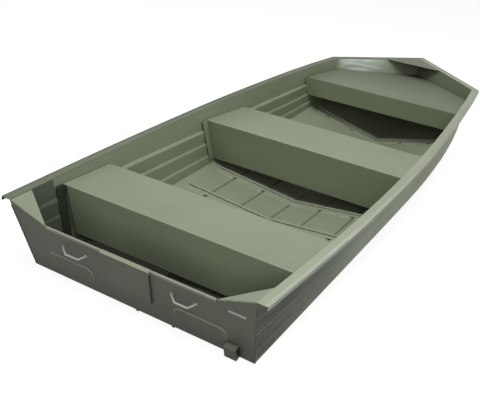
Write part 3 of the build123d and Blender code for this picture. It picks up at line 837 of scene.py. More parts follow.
@dataclass(frozen=True)
class HullForm:
    """Lines of the hull, from which every sheet is laid."""

    half_bottom: float = 0.682
    knuckle_share: float = 0.91
    stern_rise: float = 0.72
    bow_rise: float = 0.85
    stern_ledge: float = 0.3
    stern_rail: tuple[float, float] = (0.77502, 0.417)
    # x, keel, chine half width and height, knuckle's share of the rise, rail half width and height
    stations: tuple[tuple[float, ...], ...] = (
        (0.614, 0.0, 0.682, 0.036, 0.72, 0.80701, 0.444),
        (1.228, 0.0, 0.682, 0.072, 0.72, 0.81397, 0.471),
        (1.841, 0.0, 0.682, 0.109, 0.72, 0.80401, 0.504),
        (2.387, 0.0, 0.67498, 0.143, 0.72, 0.77598, 0.534),
        (2.864, 0.018, 0.65001, 0.176, 0.77, 0.73997, 0.561),
        (3.069, 0.040, 0.63603, 0.205, 0.81, 0.72101, 0.571),
        (3.274, 0.068, 0.61898, 0.243, 0.85, 0.70198, 0.580),
    )
    # share of the side's height, share added at the transom, offset outward
    ledges: tuple[tuple[float, float, float], ...] = (
        (0.13, 0.03, -0.002), (0.16, 0.03, 0.006), (0.35, 0.115, -0.002),
        (0.385, 0.115, 0.006), (0.59, 0.11, -0.004), (0.63, 0.11, 0.008),
    )
    corner_chine: tuple[float, float, float] = (3.537, 0.58400, 0.316)
    corner_top: tuple[float, float, float] = (3.565, 0.61100, 0.588)
    corner_rail: tuple[float, float, float] = (3.586, 0.66502, 0.592)
    corner_keel: float = 0.110
    room_gap: float = 0.0004
    stem_foot: tuple[float, float] = (3.990, 0.375)
    stem_top: tuple[float, float] = (4.057, 0.636)
    stem_rail: tuple[float, float] = (4.134, 0.640)
    bow_keel: tuple[tuple[float, float], ...] = ((0.36, 0.165), (0.71, 0.250), (0.99658, 0.371))

    def sections(self) -> list[Section]:
        """Sections from the transom to the bow corner.

        Returns:
            The sections in order.
        """
        rail_y, rail_z = self.stern_rail
        tucked = FLANGE - SHEET
        found = [Section(0.0, 0.0, -RAKE, 0.0, self.half_bottom, 0.0, self.stern_rise,
                         rail_y - tucked, rail_z - FLANGE_SHEET, self.stern_ledge, 1.0)]
        level_x = self.stations[2][0]
        for x, keel, chine_y, chine_z, rise, rail_y, rail_z in self.stations:
            climb = max(0.0, 1.0 - x / level_x)
            found.append(Section(x, x, 0.0, keel, chine_y, chine_z, rise,
                                 rail_y - tucked, rail_z - FLANGE_SHEET, 1.0, climb))
        low_x, low_y, low_z = self.corner_chine
        high_x, high_y, high_z = self.corner_top
        lean = (high_x - low_x) / (high_z - low_z - SHEET)
        foot_x = low_x - lean * (low_z + SHEET)
        found.append(Section(low_x, foot_x, lean, self.corner_keel, low_y, low_z, self.bow_rise,
                             high_y, high_z, 0.0, 0.0))
        return found

    def bow_sections(self) -> list[Section]:
        """Sections of the bottom from the bow corner to the stem's foot.

        Returns:
            The sections in order, the corner first.
        """
        corner = self.sections()[-1]
        found = [corner]
        for share, keel in self.bow_keel:
            x = corner.stop + (self.stem_foot[0] - corner.stop) * share
            y = corner.chine_y * (1.0 - share)
            z = corner.chine_z + (self.stem_foot[1] - corner.chine_z) * share
            found.append(Section(x, x, 0.0, keel, y, z, self.bow_rise, y, z, 0.0, 0.0))
        return found

    def floor_at(self, section: Section, y: float) -> float:
        """Height of the bottom's underside at a distance from the keel.

        Args:
            section: The section to read.
            y: Distance to port or starboard.

        Returns:
            The height above the keel line.
        """
        knuckle_y = section.chine_y * self.knuckle_share
        knuckle_z = section.keel + (section.chine_z - section.keel) * section.rise
        reach = abs(y)
        if reach <= knuckle_y:
            return section.keel + (knuckle_z - section.keel) * reach / knuckle_y
        return knuckle_z + (section.chine_z - knuckle_z) * (reach - knuckle_y) / (section.chine_y - knuckle_y)

    def between(self, x: float) -> Section:
        """Section at any x between two stations, on straight lines.

        Args:
            x: Distance forward of the transom's foot.

        Returns:
            The section, upright at x.
        """
        known = self.sections()
        for first, last in zip(known, known[1:]):
            if x <= last.stop or last is known[-1]:
                share = (x - first.stop) / (last.stop - first.stop)
                sizes = [a + (b - a) * share for a, b in zip(astuple(first)[3:], astuple(last)[3:])]
                return Section(x, x, 0.0, *sizes)
        return known[-1]

    def side_line(self, section: Section, stepped: bool = True) -> list[tuple[float, float]]:
        """Outer points of the port side from chine to flange.

        Args:
            section: The section to read.
            stepped: Whether the pressed ledges are followed.

        Returns:
            Pairs of y and height.
        """
        foot_z = section.chine_z + SHEET
        points = [(section.chine_y, foot_z)]
        for low_share, added, offset in self.ledges:
            share = low_share + added * section.climb
            out = offset if stepped else min(offset, 0.0)
            points.append((section.chine_y + (section.top_y - section.chine_y) * share + out * section.ledge,
                           foot_z + (section.top_z - foot_z) * share))
        points.append((section.top_y, section.top_z))
        return points

    def room_outline(self, section: Section) -> Row:
        """Outline of the room inside the hull at one section.

        Args:
            section: The section to read.

        Returns:
            The outline's points.
        """
        port = [(y - SHEET - self.room_gap, z) for y, z in self.side_line(section, False)]
        port[0] = (port[0][0], self.floor_at(section, port[0][0]) + SHEET)
        starboard = [(-y, z) for y, z in reversed(port)]
        return [section.at(y, z) for y, z in port + starboard + [(0.0, section.keel + SHEET)]]


def smooth_rows(stops: Sequence[float], rows: Sequence[Row], steps: int) -> list[Row]:
    """Fills in rows between the given ones, on smooth curves through them.

    Args:
        stops: Place of each row along the hull.
        rows: Rows of matching points.
        steps: Number of rows for each interval.

    Returns:
        The given rows and those between them.
    """
    last = len(rows) - 1
    slopes = []
    for i in range(len(rows)):
        before, after = max(i - 1, 0), min(i + 1, last)
        span = stops[after] - stops[before]
        slopes.append([(b - a) / span for a, b in zip(rows[before], rows[after])])
    filled = []
    for i in range(last):
        span = stops[i + 1] - stops[i]
        for step in range(steps):
            t = step / steps
            p0, p1 = 2 * t**3 - 3 * t**2 + 1, 3 * t**2 - 2 * t**3
            m0, m1 = (t**3 - 2 * t**2 + t) * span, (t**3 - t**2) * span
            filled.append([a * p0 + b * p1 + u * m0 + v * m1
                           for a, b, u, v in zip(rows[i], rows[i + 1], slopes[i], slopes[i + 1])])
    return filled + [list(rows[last])]


def on_side(rows: Sequence[Row], sign: float) -> list[Row]:
    """Rows of the port side, laid on one side of the keel."""
    return [[Vector((p.x, p.y * sign, p.z)) for p in row] for row in rows]


def edge_key(first: Vector, last: Vector) -> frozenset[tuple[float, ...]]:
    """Rounded ends of an edge, alike from either end."""
    return frozenset(tuple(round(number, 5) for number in end) for end in (first, last))


@dataclass
class HullSheets:
    """Bottom and sides, pressed from sheet."""

    form: HullForm
    steps: int = 5
    ledge_round: float = 0.004
    # shared x of the aft bench's face, where the stern well and its painted shade end
    well_end: float = -1.76
    # distance from the keel, first and last x of each strake pressed in the bottom
    strakes: tuple[tuple[float, float, float], ...] = (
        (0.455, 0.06, 2.864), (0.220, 0.06, 3.069), (0.0, -0.1, 3.274),
        (-0.220, -0.1, 3.069), (-0.455, 0.06, 2.864),
    )
    # chine half width under which the grooves run together
    squeeze_below: float = 0.6
    groove_half: float = 0.009
    groove_foot: float = 0.0045
    groove_deep: float = 0.006

    def bottom_row(self, section: Section) -> Row:
        """Closed outline of the bottom sheet with its pressed grooves.

        Args:
            section: The section to lay it on.

        Returns:
            The outline's points.
        """
        knuckle = section.chine_y * self.form.knuckle_share
        squeeze = min(1.0, section.chine_y / self.squeeze_below)
        line = [(section.chine_y, 0.0), (knuckle, 0.0)]
        for y, first, last in self.strakes:
            deep = self.groove_deep if first < section.stop <= last else 0.0
            for across, share in ((self.groove_half, 0.0), (self.groove_foot, 1.0),
                                  (-self.groove_foot, 1.0), (-self.groove_half, 0.0)):
                line.append(((y + across) * squeeze, -deep * share))
        line += [(-knuckle, 0.0), (-section.chine_y, 0.0)]
        top = [section.at(y, self.form.floor_at(section, y) + drop + SHEET) for y, drop in line]
        low = [section.at(y, self.form.floor_at(section, y) + drop) for y, drop in reversed(line)]
        return top + low

    def build_bottom(self) -> None:
        """Lays the bottom from the transom to the stem."""
        main = self.form.sections()
        bow = self.form.bow_sections()
        rows = smooth_rows([s.stop for s in main], [self.bottom_row(s) for s in main], self.steps)
        rows += smooth_rows([s.stop for s in bow], [self.bottom_row(s) for s in bow], self.steps)[1:]
        bottom = add_tube("bottom_pressing", rows)
        settle(bottom, Finishes.FLOOR, ["bottom_sheet"])

    def build_sides(self) -> None:
        """Lays both side sheets, with rounded ledges."""
        sections = self.form.sections()
        rows = []
        for section in sections:
            rows.append([section.at(y, z) for y, z in self.form.side_line(section)])
        rows = smooth_rows([s.stop for s in sections], rows, self.steps)
        for side, sign in SIDES:
            laid = on_side(rows, sign)
            sheet = add_sheet(f"side_pressing_{side}", laid)
            folds = {edge_key(row[index], after[index])
                     for row, after in zip(laid, laid[1:]) for index in range(1, len(row) - 1)}
            with editing(sheet):
                pick(sheet, "EDGE", lambda a, b: edge_key(a, b) in folds)
                bpy.ops.mesh.bevel(offset=self.ledge_round, segments=3, clamp_overlap=True)
            face_toward(sheet, TO_STARBOARD * -sign)
            thicken(sheet, SHEET)
            # The starboard side takes the painted reflection and shade
            finish = Finishes.HULL if sign > 0 else Finishes.SIDE_STARBOARD
            settle(sheet, finish, [f"side_sheet_{side}"])
            # Painted shade on the inner faces in the stern well
            dress_faces(sheet, Finishes.WELL,
                        lambda middle, normal: middle.x < self.well_end and normal.y * sign < 0.0)

    def build(self) -> None:
        """Builds every sheet."""
        self.build_bottom()
        self.build_sides()


@dataclass
class Rails:
    """Gunwale and bow rails with their bead and groove."""

    form: HullForm
    steps: int = 5
    soft: float = 0.0009
    # least rise and least sideways share of the normal of the bead's faces that get the painted highlight
    bead_rise: float = 0.3
    bead_out: float = 0.4
    # distance in from the outer edge, height from the flange's top
    profile: tuple[tuple[float, float], ...] = (
        (0.057, -0.004), (0.057, 0.0), (0.015, 0.0), (0.013, -0.002), (0.010, -0.002), (0.008, 0.002),
        (0.0025, 0.002), (0.0, -0.002), (0.0, -0.022), (0.004, -0.022), (0.004, -0.005), (0.006, -0.004),
    )

    def row(self, outer: tuple[float, float], inner: tuple[float, float], z: float) -> Row:
        """Rail outline between an outer and an inner point seen in plan.

        Args:
            outer: x and y of the outer edge.
            inner: x and y of the inner edge.
            z: Height of the flange's top.

        Returns:
            The outline's points.
        """
        points = []
        for back, rise in self.profile:
            t = back / FLANGE
            x = outer[0] + (inner[0] - outer[0]) * t
            y = outer[1] + (inner[1] - outer[1]) * t
            points.append(hull_point(x, y, z + rise))
        return points

    def corner_row(self) -> Row:
        """Rail outline at the bow corner."""
        top = self.form.corner_top
        return self.row(self.form.corner_rail[:2], (top[0], top[1] - SHEET), self.form.corner_rail[2])

    def build(self) -> None:
        """Lays the gunwale rails and rolls the edges of the bow rails."""
        rail_y, rail_z = self.form.stern_rail
        line = [(0.0, -RAKE * rail_z - TRANSOM_SHEET, rail_y, rail_z)]
        line += [(x, x, rail_y, rail_z) for x, *_hull, rail_y, rail_z in self.form.stations]
        rows = [self.row((x, y), (x, y - FLANGE), z) for _stop, x, y, z in line]
        stops = [stop for stop, *_place in line] + [self.form.corner_chine[0]]
        rows = smooth_rows(stops, rows + [self.corner_row()], self.steps)
        widest = CAD_BOX[1][1]
        rows = [[Vector((p.x, min(p.y, widest), p.z)) for p in row] for row in rows]
        (tip_x, tip_z), (panel_x, _panel_z) = self.form.stem_rail, self.form.stem_top
        stem = self.row((tip_x, 0.0), (panel_x - SHEET, 0.0), tip_z)
        bow = smooth_rows([0.0, 1.0], [self.corner_row(), stem], self.steps)
        for side, sign in SIDES:
            for label, laid in (("gunwale", rows), ("bow", bow)):
                rail = add_tube(f"{label}_rail_{side}_rolled", on_side(laid, sign))
                soften(rail, self.soft)
                # Port rails take the painted shade, starboard rails the painted light
                finish = Finishes.RAIL_PORT if sign > 0 else Finishes.RAIL_STARBOARD
                settle(rail, finish, [f"{label}_rail_{side}"])
                # The starboard bead's slanting faces get the painted highlight
                if sign < 0:
                    dress_faces(rail, Finishes.BEAD, self.on_bead)

    def on_bead(self, _middle: Vector, normal: Vector) -> bool:
        """Whether a face is one of the bead's slanting ones."""
        return normal.z > self.bead_rise and abs(normal.y) > self.bead_out


@dataclass
class Bench:
    """Box bench folded from sheet, open underneath."""

    name: str
    aft: float
    lean: float
    fore: float
    foot: float
    top: float
    # y of the aft face's ends at the foot and at the top; none where it meets the sides
    ends: tuple[float, float] | None = None
    fold: float = 0.005
    sheet: float = 0.003
    # how far the gaps' tools reach aft, below and forward of the aft face
    gap_aft: float = 0.02
    gap_low: float = 0.01
    gap_fore: float = 0.012
    # distances from the bench's edges at which the room's outline is taken
    room_past: float = 0.2
    room_within: float = 0.1
    # least and most upward share of the normals along the top's folds, which get a painted highlight
    fold_rise: tuple[float, float] = (0.2, 0.97)

    def open_ends(self, bench: Object) -> None:
        """Cuts the gaps between the aft face and the hull's sides.

        Args:
            bench: The folded bench.
        """
        foot_y, top_y = self.ends
        middle = (self.foot + self.top) / 2.0
        for sign in (PORT, STARBOARD):
            ys = sorted((sign * top_y, sign * PAST_SIDES))
            low = hull_point(self.aft - self.gap_aft, ys[0], self.foot - self.gap_low)
            high = hull_point(self.aft + self.lean + self.gap_fore, ys[1], self.top - self.fold)
            gap = add_block(low, high)
            pull_points(gap, lambda p: p.z < middle and abs(p.y) < top_y + self.gap_low,
                        Vector((0.0, sign * (foot_y - top_y), 0.0)))
            cut(bench, gap)

    def build(self, form: HullForm) -> None:
        """Folds the bench and trims its ends to the hull.

        Args:
            form: The hull's lines.
        """
        bench = add_block(hull_point(self.aft, -PAST_SIDES, self.foot),
                          hull_point(self.fore, PAST_SIDES, self.top))
        bench.name = f"{self.name}_folded"
        high = self.top + KEEL_LIFT - 100.0 * MERGE
        middle = (self.aft + self.fore) / 2.0 - MIDDLE_X
        with editing(bench):
            pick(bench, "EDGE", lambda a, b: max(a.z, b.z) < high and max(a.x, b.x) < middle)
            bpy.ops.transform.translate(value=(self.lean, 0.0, 0.0))
            pick(bench, "EDGE", lambda a, b: min(a.z, b.z) > high and abs(a.x - b.x) < 100.0 * MERGE)
            bpy.ops.mesh.bevel(offset=self.fold, segments=4)
            pick(bench, "FACE", lambda _middle, normal: normal.z < -SQUARE_ON or abs(normal.y) > SQUARE_ON)
            bpy.ops.mesh.delete(type="FACE")
        thicken(bench, self.sheet)
        stops = (self.aft - self.room_past, self.aft + self.room_within,
                 self.fore - self.room_within, self.fore + self.room_past)
        cut(bench, add_tube("room", [form.room_outline(form.between(x)) for x in stops]), "INTERSECT")
        if self.ends is not None:
            self.open_ends(bench)
        settle(bench, Finishes.BENCH, [self.name])
        least, most = self.fold_rise
        # Painted highlight along the top's folds
        dress_faces(bench, Finishes.FOLD,
                    lambda middle, normal: middle.z > self.top and least < normal.z < most)
        if self.ends is not None:
            # Painted light on the aft face
            dress_faces(bench, Finishes.FACE, looking(AFT, SQUARE_ON))


@dataclass
class Benches:
    """The two box benches, the bow bench and their end strips."""

    form: HullForm
    narrowed: float = 0.042
    # depth of a strip's aft edge, and height of its two ends
    edge_reach: float = 0.02
    edge_end: float = 0.004
    deck_roll: float = 0.005
    strip_roll: float = 0.0006
    # name, aft x at the top, lean of the aft face, forward x, foot, top, ends of the aft face
    boxes: tuple[tuple[object, ...], ...] = (
        ("aft_bench", 0.244, 0.020, 0.648, 0.095, 0.378, (0.6465, 0.703)),
        ("mid_bench", 1.669, 0.044, 2.150, 0.132, 0.416, None),
    )

    def build(self) -> None:
        """Builds the benches and the strips at their ends."""
        for box in self.boxes:
            Bench(*box).build(self.form)
        deck = softened_copy("bow_bench", "bow_bench_folded", self.deck_roll, 3)
        # The bow bench takes the faces' painted light
        settle(deck, Finishes.FACE, ["bow_bench"])
        # The bow deck's top takes painted shade
        dress_faces(deck, Finishes.DECK, looking(UP, SQUARE_ON))
        for name in ("aft_bench", "mid_bench", "bow_bench"):
            for side, _sign in SIDES:
                node = f"{name}_end_{side}"
                # The aft bench's end strips take painted shade
                finish = Finishes.RECESS if name == "aft_bench" else Finishes.BENCH
                strip = softened_copy(node, f"{node}_strip", self.strip_roll, 1)
                if name == "bow_bench":
                    self.narrow(strip)
                settle(strip, finish, [node])

    def narrow(self, strip: Object) -> None:
        """Draws a strip's aft edge in toward its bench.

        Args:
            strip: The strip to narrow.
        """
        points = [vertex.co for vertex in strip.data.vertices]
        low = min(p.z for p in points)
        high = max(p.z for p in points)
        aft_low = min(p.x for p in points if p.z < low + self.edge_end)
        aft_high = min(p.x for p in points if p.z > high - self.edge_end)

        def near_edge(p: Vector) -> bool:
            """Whether a point lies by the aft edge."""
            share = (p.z - low) / (high - low)
            return p.x < aft_low + (aft_high - aft_low) * share + self.edge_reach

        pull_points(strip, near_edge, Vector((self.narrowed, 0.0, 0.0)))


@dataclass
class FloorRibs:
    """Folded ribs across the floor, with drain notches."""

    form: HullForm
    stops: tuple[float, ...] = (0.290, 0.553, 0.925, 1.297, 1.669, 2.185, 2.691, 3.196)
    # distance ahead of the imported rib's aft edge, height over the floor
    shape: tuple[tuple[float, float], ...] = (
        (-0.028, 0.0), (-0.026, 0.0035), (-0.022, 0.0045), (0.026, 0.0055), (0.031, 0.0025),
        (0.034, 0.0025), (0.035, 0.0125), (0.037, 0.0145), (0.042, 0.0145), (0.044, 0.0125), (0.046, 0.0),
    )
    # distance of the outermost line from a rib's end, and of the inner lines from the keel
    end_line: float = 0.02
    keel_lines: tuple[float, float] = (0.03, 0.008)
    # distance ahead of the rib's aft edge and least upward share of the normal of the faces that get the
    # crest's painted highlight
    crest_from: float = 0.0345
    crest_rise: float = 0.3
    sheet: float = 0.0015
    notch_at: tuple[float, ...] = (0.450, 0.218)
    notch_wide: float = 0.030
    notch_long: float = 0.024
    # how far a notch's tool reaches aft of the rib, below and above the floor
    notch_aft: float = 0.01
    notch_low: float = 0.02
    notch_high: float = 0.03

    def outline(self, x: float, y: float) -> Row:
        """Line over a rib at one distance from the keel: gentle flank, step and crest.

        Args:
            x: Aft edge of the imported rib.
            y: Distance to port.

        Returns:
            The line's points, from the aft foot over the top.
        """
        points = []
        for ahead, height in self.shape:
            section = self.form.between(x + ahead)
            points.append(hull_point(x + ahead, y, self.form.floor_at(section, y) + SHEET + height))
        return points

    def build(self) -> None:
        """Folds each rib and cuts its notches."""
        aft = self.shape[0][0]
        for number, x in enumerate(self.stops, start=1):
            section = self.form.between(x)
            end = section.chine_y * self.form.knuckle_share
            half = [end, end - self.end_line, end / 2.0, *self.keel_lines]
            ys = half + [0.0] + [-y for y in reversed(half)]
            rib = add_sheet(f"floor_rib_{number}_folded", [self.outline(x, y) for y in ys])
            face_toward(rib, UP)
            thicken(rib, self.sheet)
            for y in self.notch_at:
                floor = self.form.floor_at(section, y) + SHEET
                for sign in (PORT, STARBOARD):
                    low = hull_point(x + aft - self.notch_aft, sign * y - self.notch_wide / 2.0,
                                     floor - self.notch_low)
                    high = hull_point(x + aft + self.notch_long, sign * y + self.notch_wide / 2.0,
                                      floor + self.notch_high)
                    cut(rib, add_block(low, high))
            settle(rib, Finishes.RIB, [f"floor_rib_{number}"])
            crest = hull_point(x + self.crest_from, 0.0, 0.0).x
            # Painted highlight on the crest
            dress_faces(rib, Finishes.CREST,
                        lambda middle, normal: middle.x > crest and normal.z > self.crest_rise)


@dataclass
class LiftHandles:
    """Two rod handles with flattened feet."""

    # side, y of the near and the far foot
    feet: tuple[tuple[str, float, float], ...] = (("port", 0.2635, 0.406), ("starboard", -0.2584, -0.390))
    height: float = 0.255
    drop: float = 0.0155
    reach: float = 0.0305
    stub: float = 0.008
    inset: float = 0.030
    rod: float = 0.0052
    bend: float = 0.010
    foot_long: float = 0.024
    foot_wide: float = 0.014
    foot_thick: float = 0.003
    foot_roll: float = 0.0012
    # distance of the rod's ends from the transom, and number of the rod's sides
    sunk: float = 0.001
    rod_sides: int = 14
    # share of a foot's normal that looks to starboard on its side with painted shade
    dark_share: float = 0.8

    def bend_rod(self, stops: Sequence[Vector]) -> Object:
        """Bends a round rod along straight runs.

        Args:
            stops: Ends and corners of the runs.

        Returns:
            The rod, closed at both ends.
        """
        first = (stops[1] - stops[0]).normalized()
        piece = add_primitive("circle", vertices=self.rod_sides, radius=self.rod, fill_type="NGON",
                              location=stops[0], rotation=first.to_track_quat("Z", "Y").to_euler())
        with editing(piece, "SELECT"):
            here = stops[0]
            for before, corner, after in zip(stops, stops[1:], stops[2:]):
                came = (corner - before).normalized()
                goes = (after - corner).normalized()
                angle = came.angle(goes)
                short = self.bend * math.tan(angle / 2.0)
                start = corner - came * short
                bpy.ops.mesh.extrude_region_move(TRANSFORM_OT_translate={"value": start - here})
                axis = came.cross(goes).normalized()
                centre = start + axis.cross(came) * self.bend
                bpy.ops.mesh.spin(steps=5, angle=-angle, center=centre, axis=axis)
                here = corner + goes * short
            bpy.ops.mesh.extrude_region_move(TRANSFORM_OT_translate={"value": stops[-1] - here})
            bpy.ops.mesh.select_all(action="SELECT")
            bpy.ops.mesh.remove_doubles(threshold=MERGE)
            bpy.ops.mesh.normals_make_consistent(inside=False)
        return piece

    def build(self) -> None:
        """Bends both rods and adds their feet."""
        turn = TRANSOM_AFT.to_track_quat("Z", "Y").to_euler()
        for side, near, far in self.feet:
            inset = math.copysign(self.inset, near)
            path = ((near, self.height, self.sunk), (near, self.height, self.stub),
                    (near + inset, self.height - self.drop, self.reach),
                    (far - inset, self.height - self.drop, self.reach),
                    (far, self.height, self.stub), (far, self.height, self.sunk))
            pieces = [self.bend_rod([transom_point(*stop) for stop in path])]
            for y in (near, far):
                place = transom_point(y, self.height, self.foot_thick / 2.0)
                size = (self.foot_long, self.foot_wide, self.foot_thick)
                foot = add_primitive("cube", size=1.0, location=place, scale=size, rotation=turn)
                soften(foot, self.foot_roll)
                pieces.append(foot)
            handle = join_pieces(f"lift_handle_{side}_rod", pieces)
            settle(handle, Finishes.METAL, [f"lift_handle_{side}"])
            flat = TRANSOM_AFT * (2.0 * self.foot_thick) + transom_point(0.0, self.height, 0.0)
            # Painted shade on the feet's starboard faces
            dress_faces(handle, Finishes.RECESS,
                        lambda middle, normal: normal.y < -self.dark_share
                        and (middle - flat).dot(TRANSOM_AFT) < 0.0)


@dataclass
class TransomFittings:
    """Transom sheet and everything folded or fixed on it."""

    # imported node, roll of its edges, finish, slot
    pieces: tuple[tuple[str, float, Finishes, Slot], ...] = (
        # The transom sheet, pad and bracket take the transom's painted shade
        ("transom_sheet", 0.0025, Finishes.TRANSOM, Slot.HULL),
        ("transom_lip_port", 0.0012, Finishes.RAIL, Slot.HULL),
        ("transom_lip_starboard", 0.0012, Finishes.RAIL, Slot.HULL),
        ("motor_pad", 0.0015, Finishes.TRANSOM, Slot.HULL),
        ("pad_cap", 0.0015, Finishes.RAIL, Slot.HULL),
        ("motor_board", 0.002, Finishes.BOARD, Slot.BOARD),
        ("transom_brace", 0.001, Finishes.HULL, Slot.FLOOR),
        ("blank_plate", 0.0004, Finishes.PLATE, Slot.PLATE),
        ("sounder_bracket", 0.0018, Finishes.TRANSOM, Slot.HULL),
        ("quarter_knee_port", 0.001, Finishes.RAIL, Slot.HULL),
        ("quarter_knee_starboard", 0.001, Finishes.RAIL, Slot.HULL),
    )
    low_top: float = 0.343
    plate_trim: float = 0.003
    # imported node, distance out of the points that are pulled aft, how far
    tucks: tuple[tuple[str, float, float], ...] = (
        ("transom_lip_port", -0.020, 0.018), ("transom_lip_starboard", -0.020, 0.018),
        ("pad_cap", -0.034, 0.034),
    )
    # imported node, finish of its faces that look one way, that way, least and most share of the normal
    second: tuple[tuple[str, Finishes, Vector, float, float], ...] = (
        # Painted shade on the pad cap's aft faces
        ("pad_cap", Finishes.TRANSOM, TRANSOM_AFT, 0.8, NO_MOST),
        # Painted highlight on the pressed shapes' slopes
        ("transom_sheet", Finishes.PRESSED, TRANSOM_AFT, 0.4, 0.97),
        # Painted light on the bracket's top, in the hull's paint
        ("sounder_bracket", Finishes.HULL, UP, 0.6, NO_MOST),
        # Painted shade on the bracket's starboard side
        ("sounder_bracket", Finishes.RECESS, TO_STARBOARD, 0.8, NO_MOST),
    )

    def trim_plate(self, plate: Object) -> None:
        """Draws the plate's upper and lower edges in.

        Args:
            plate: The plate.
        """
        heights = [vertex.co.dot(TRANSOM_UP) for vertex in plate.data.vertices]
        middle = sum(heights) / len(heights)
        drawn = TRANSOM_UP * self.plate_trim
        pull_points(plate, lambda p: p.dot(TRANSOM_UP) > middle, -drawn)
        pull_points(plate, lambda p: p.dot(TRANSOM_UP) < middle - self.plate_trim, drawn)

    def build(self) -> None:
        """Rolls the edges of each fitting and dresses it."""
        edge = transom_point(0.0, self.low_top, 0.0)
        pulls = {node: (limit, shift) for node, limit, shift in self.tucks}
        for node, width, finish, slot in self.pieces:
            piece = softened_copy(node, f"{node}_finished", width)
            if node in pulls:
                limit, shift = pulls[node]
                pull_points(piece, lambda p: (p - edge).dot(TRANSOM_AFT) < limit, TRANSOM_AFT * shift)
            if node == "blank_plate":
                self.trim_plate(piece)
            settle(piece, finish, [node])
            for owner, other, way, least, most in self.second:
                if owner == node:
                    dress_faces(piece, other, looking(way, least, most))


@dataclass
class CornerWelds:
    """Woven weld beads down the transom's two corners."""

    form: HullForm
    top: float = 0.385
    thick: float = 0.0034
    pitch: float = 0.034
    # side, how far the bead weaves
    weaves: tuple[tuple[str, float], ...] = (("port", 0.0006), ("starboard", 0.0028))
    corners: int = 8
    rows_a_weave: int = 8

    def build(self) -> None:
        """Lays a bead at each corner, from the chine up to the rail."""
        section = self.form.sections()[0]
        line = self.form.side_line(section, False)
        turns = [2.0 * math.pi * corner / self.corners for corner in range(self.corners)]
        middles = []
        for first, last in zip(line, line[1:]):
            count = max(1, int(self.rows_a_weave * math.dist(first, last) / self.pitch))
            for index in range(count):
                y, z = (a + (b - a) * index / count for a, b in zip(first, last))
                if z < self.top:
                    middles.append(section.at(y, z) + TRANSOM_AFT * TRANSOM_SHEET)
        for (side, sign), (_side, weave) in zip(SIDES, self.weaves):
            rows = []
            for index, middle in enumerate(middles):
                swing = weave * math.sin(index * 2.0 * math.pi / self.rows_a_weave)
                place = middle + Vector((0.0, swing, 0.0))
                rows.append([place + Vector((math.cos(turn), math.sin(turn), 0.0)) * self.thick
                             for turn in turns])
            settle(add_tube(f"corner_weld_{side}", on_side(rows, sign)), Finishes.WELD)


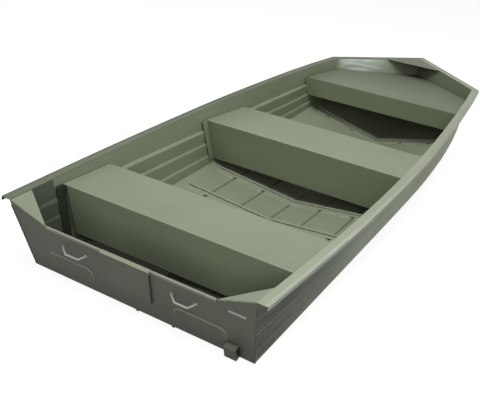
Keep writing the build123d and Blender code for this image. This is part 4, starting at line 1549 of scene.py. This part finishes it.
@dataclass
class Studio:
    """Pale floor, soft lamps and the photograph's camera."""

    camera_place: tuple[float, float, float] = (-4.39537, -1.81164, 2.02242)
    camera_turn: tuple[float, float, float] = (64.57116, -5.96852, -58.74886)
    lens: float = 53.475
    sensor: float = 36.0
    sky: Colour = (0.17, 0.175, 0.18)
    floor_size: float = 80.0
    floor_tones: tuple[Colour, Colour] = ((0.26, 0.26, 0.26), (0.28, 0.28, 0.28))
    floor_glow: float = 0.9
    # name, place, aim, width, watts
    lamps: tuple[tuple[str, tuple[float, float, float], tuple[float, float, float], float, float], ...] = (
        ("key", (-2.3, -1.6, 8.0), (0.0, 0.0, 0.3), 4.0, 470.0),
        ("fill", (-5.5, -1.6, 2.4), (0.0, 0.0, 0.3), 3.0, 55.0),
        ("side", (4.0, -5.0, 1.4), (1.2, -0.6, 0.3), 2.0, 40.0),
    )

    def build_camera(self) -> None:
        """Sets up the camera."""
        data = bpy.data.cameras.new("photo_camera")
        data.lens = self.lens
        data.sensor_width = self.sensor
        camera = bpy.data.objects.new("photo_camera", data)
        camera.location = self.camera_place
        camera.rotation_euler = Euler([math.radians(angle) for angle in self.camera_turn])
        bpy.context.scene.collection.objects.link(camera)
        bpy.context.scene.camera = camera

    @staticmethod
    def seen_ray(wiring: Wiring) -> object:
        """Mask of camera, glossy and transmission rays."""
        rays = wiring.add("ShaderNodeLightPath")
        seen = wiring.plus(rays.outputs["Is Camera Ray"], rays.outputs["Is Glossy Ray"], clamp=True)
        return wiring.plus(seen, rays.outputs["Is Transmission Ray"], clamp=True)

    def build_sky(self) -> None:
        """White surroundings to the eye, plain soft light to the boat."""
        world = bpy.data.worlds.new("studio")
        world.use_nodes = True
        bpy.context.scene.world = world
        wiring = Wiring(world.node_tree)
        background = world.node_tree.nodes["Background"]
        white = rgba((1.0, 1.0, 1.0))
        wiring.feed(background, {"Color": wiring.blend(self.seen_ray(wiring), rgba(self.sky), white)})

    def build_lamps(self) -> None:
        """Adds the soft lamps."""
        for name, place, aim, width, watts in self.lamps:
            data = bpy.data.lights.new(name, "AREA")
            data.size = width
            data.energy = watts
            lamp = bpy.data.objects.new(name, data)
            lamp.location = place
            lamp.rotation_euler = (Vector(aim) - Vector(place)).to_track_quat("-Z", "Y").to_euler()
            bpy.context.scene.collection.objects.link(lamp)

    def build_floor(self) -> None:
        """Lays the pale floor, white to the eye but for the boat's shadow."""
        floor = add_primitive("plane", size=self.floor_size)
        floor.name = "studio_floor"
        material = bpy.data.materials.new("studio_floor")
        material.use_nodes = True
        tree = material.node_tree
        wiring = Wiring(tree)
        tree.nodes.remove(tree.nodes["Principled BSDF"])
        cloud = wiring.noise(wiring.place(), 0.8, 2.0)
        dark, pale = self.floor_tones
        matt = wiring.add("ShaderNodeBsdfDiffuse", {"Color": wiring.blend(cloud, rgba(dark), rgba(pale))})
        strength = wiring.times(self.seen_ray(wiring), self.floor_glow)
        glow = wiring.add("ShaderNodeEmission", {"Strength": strength})
        both = wiring.add("ShaderNodeAddShader", {0: matt.outputs[0], 1: glow.outputs[0]})
        wiring.feed(tree.nodes["Material Output"], {"Surface": both.outputs[0]})
        floor.data.materials.append(material)

    def build(self) -> None:
        """Builds the whole studio."""
        bpy.context.scene.view_settings.view_transform = "Standard"
        self.build_camera()
        self.build_sky()
        self.build_lamps()
        self.build_floor()


@dataclass
class Boat:
    """The whole boat, built piece by piece."""

    form: HullForm = field(default_factory=HullForm)

    def build(self) -> None:
        """Builds the sub-assemblies in order."""
        for part in (HullSheets(self.form), STRAKES, Rails(self.form), Benches(self.form),
                     FloorRibs(self.form), LiftHandles(), TransomFittings(), CornerWelds(self.form),
                     BOW_FITTINGS):
            log.info("building %s", type(part).__name__)
            part.build()


def write_sizes() -> None:
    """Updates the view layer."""
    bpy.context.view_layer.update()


def main() -> None:
    """Builds the studio and the boat."""
    logging.basicConfig(level=logging.INFO, format="%(message)s")
    Studio().build()
    Boat().build()
    write_sizes()


if __name__ == "__main__":
    main()
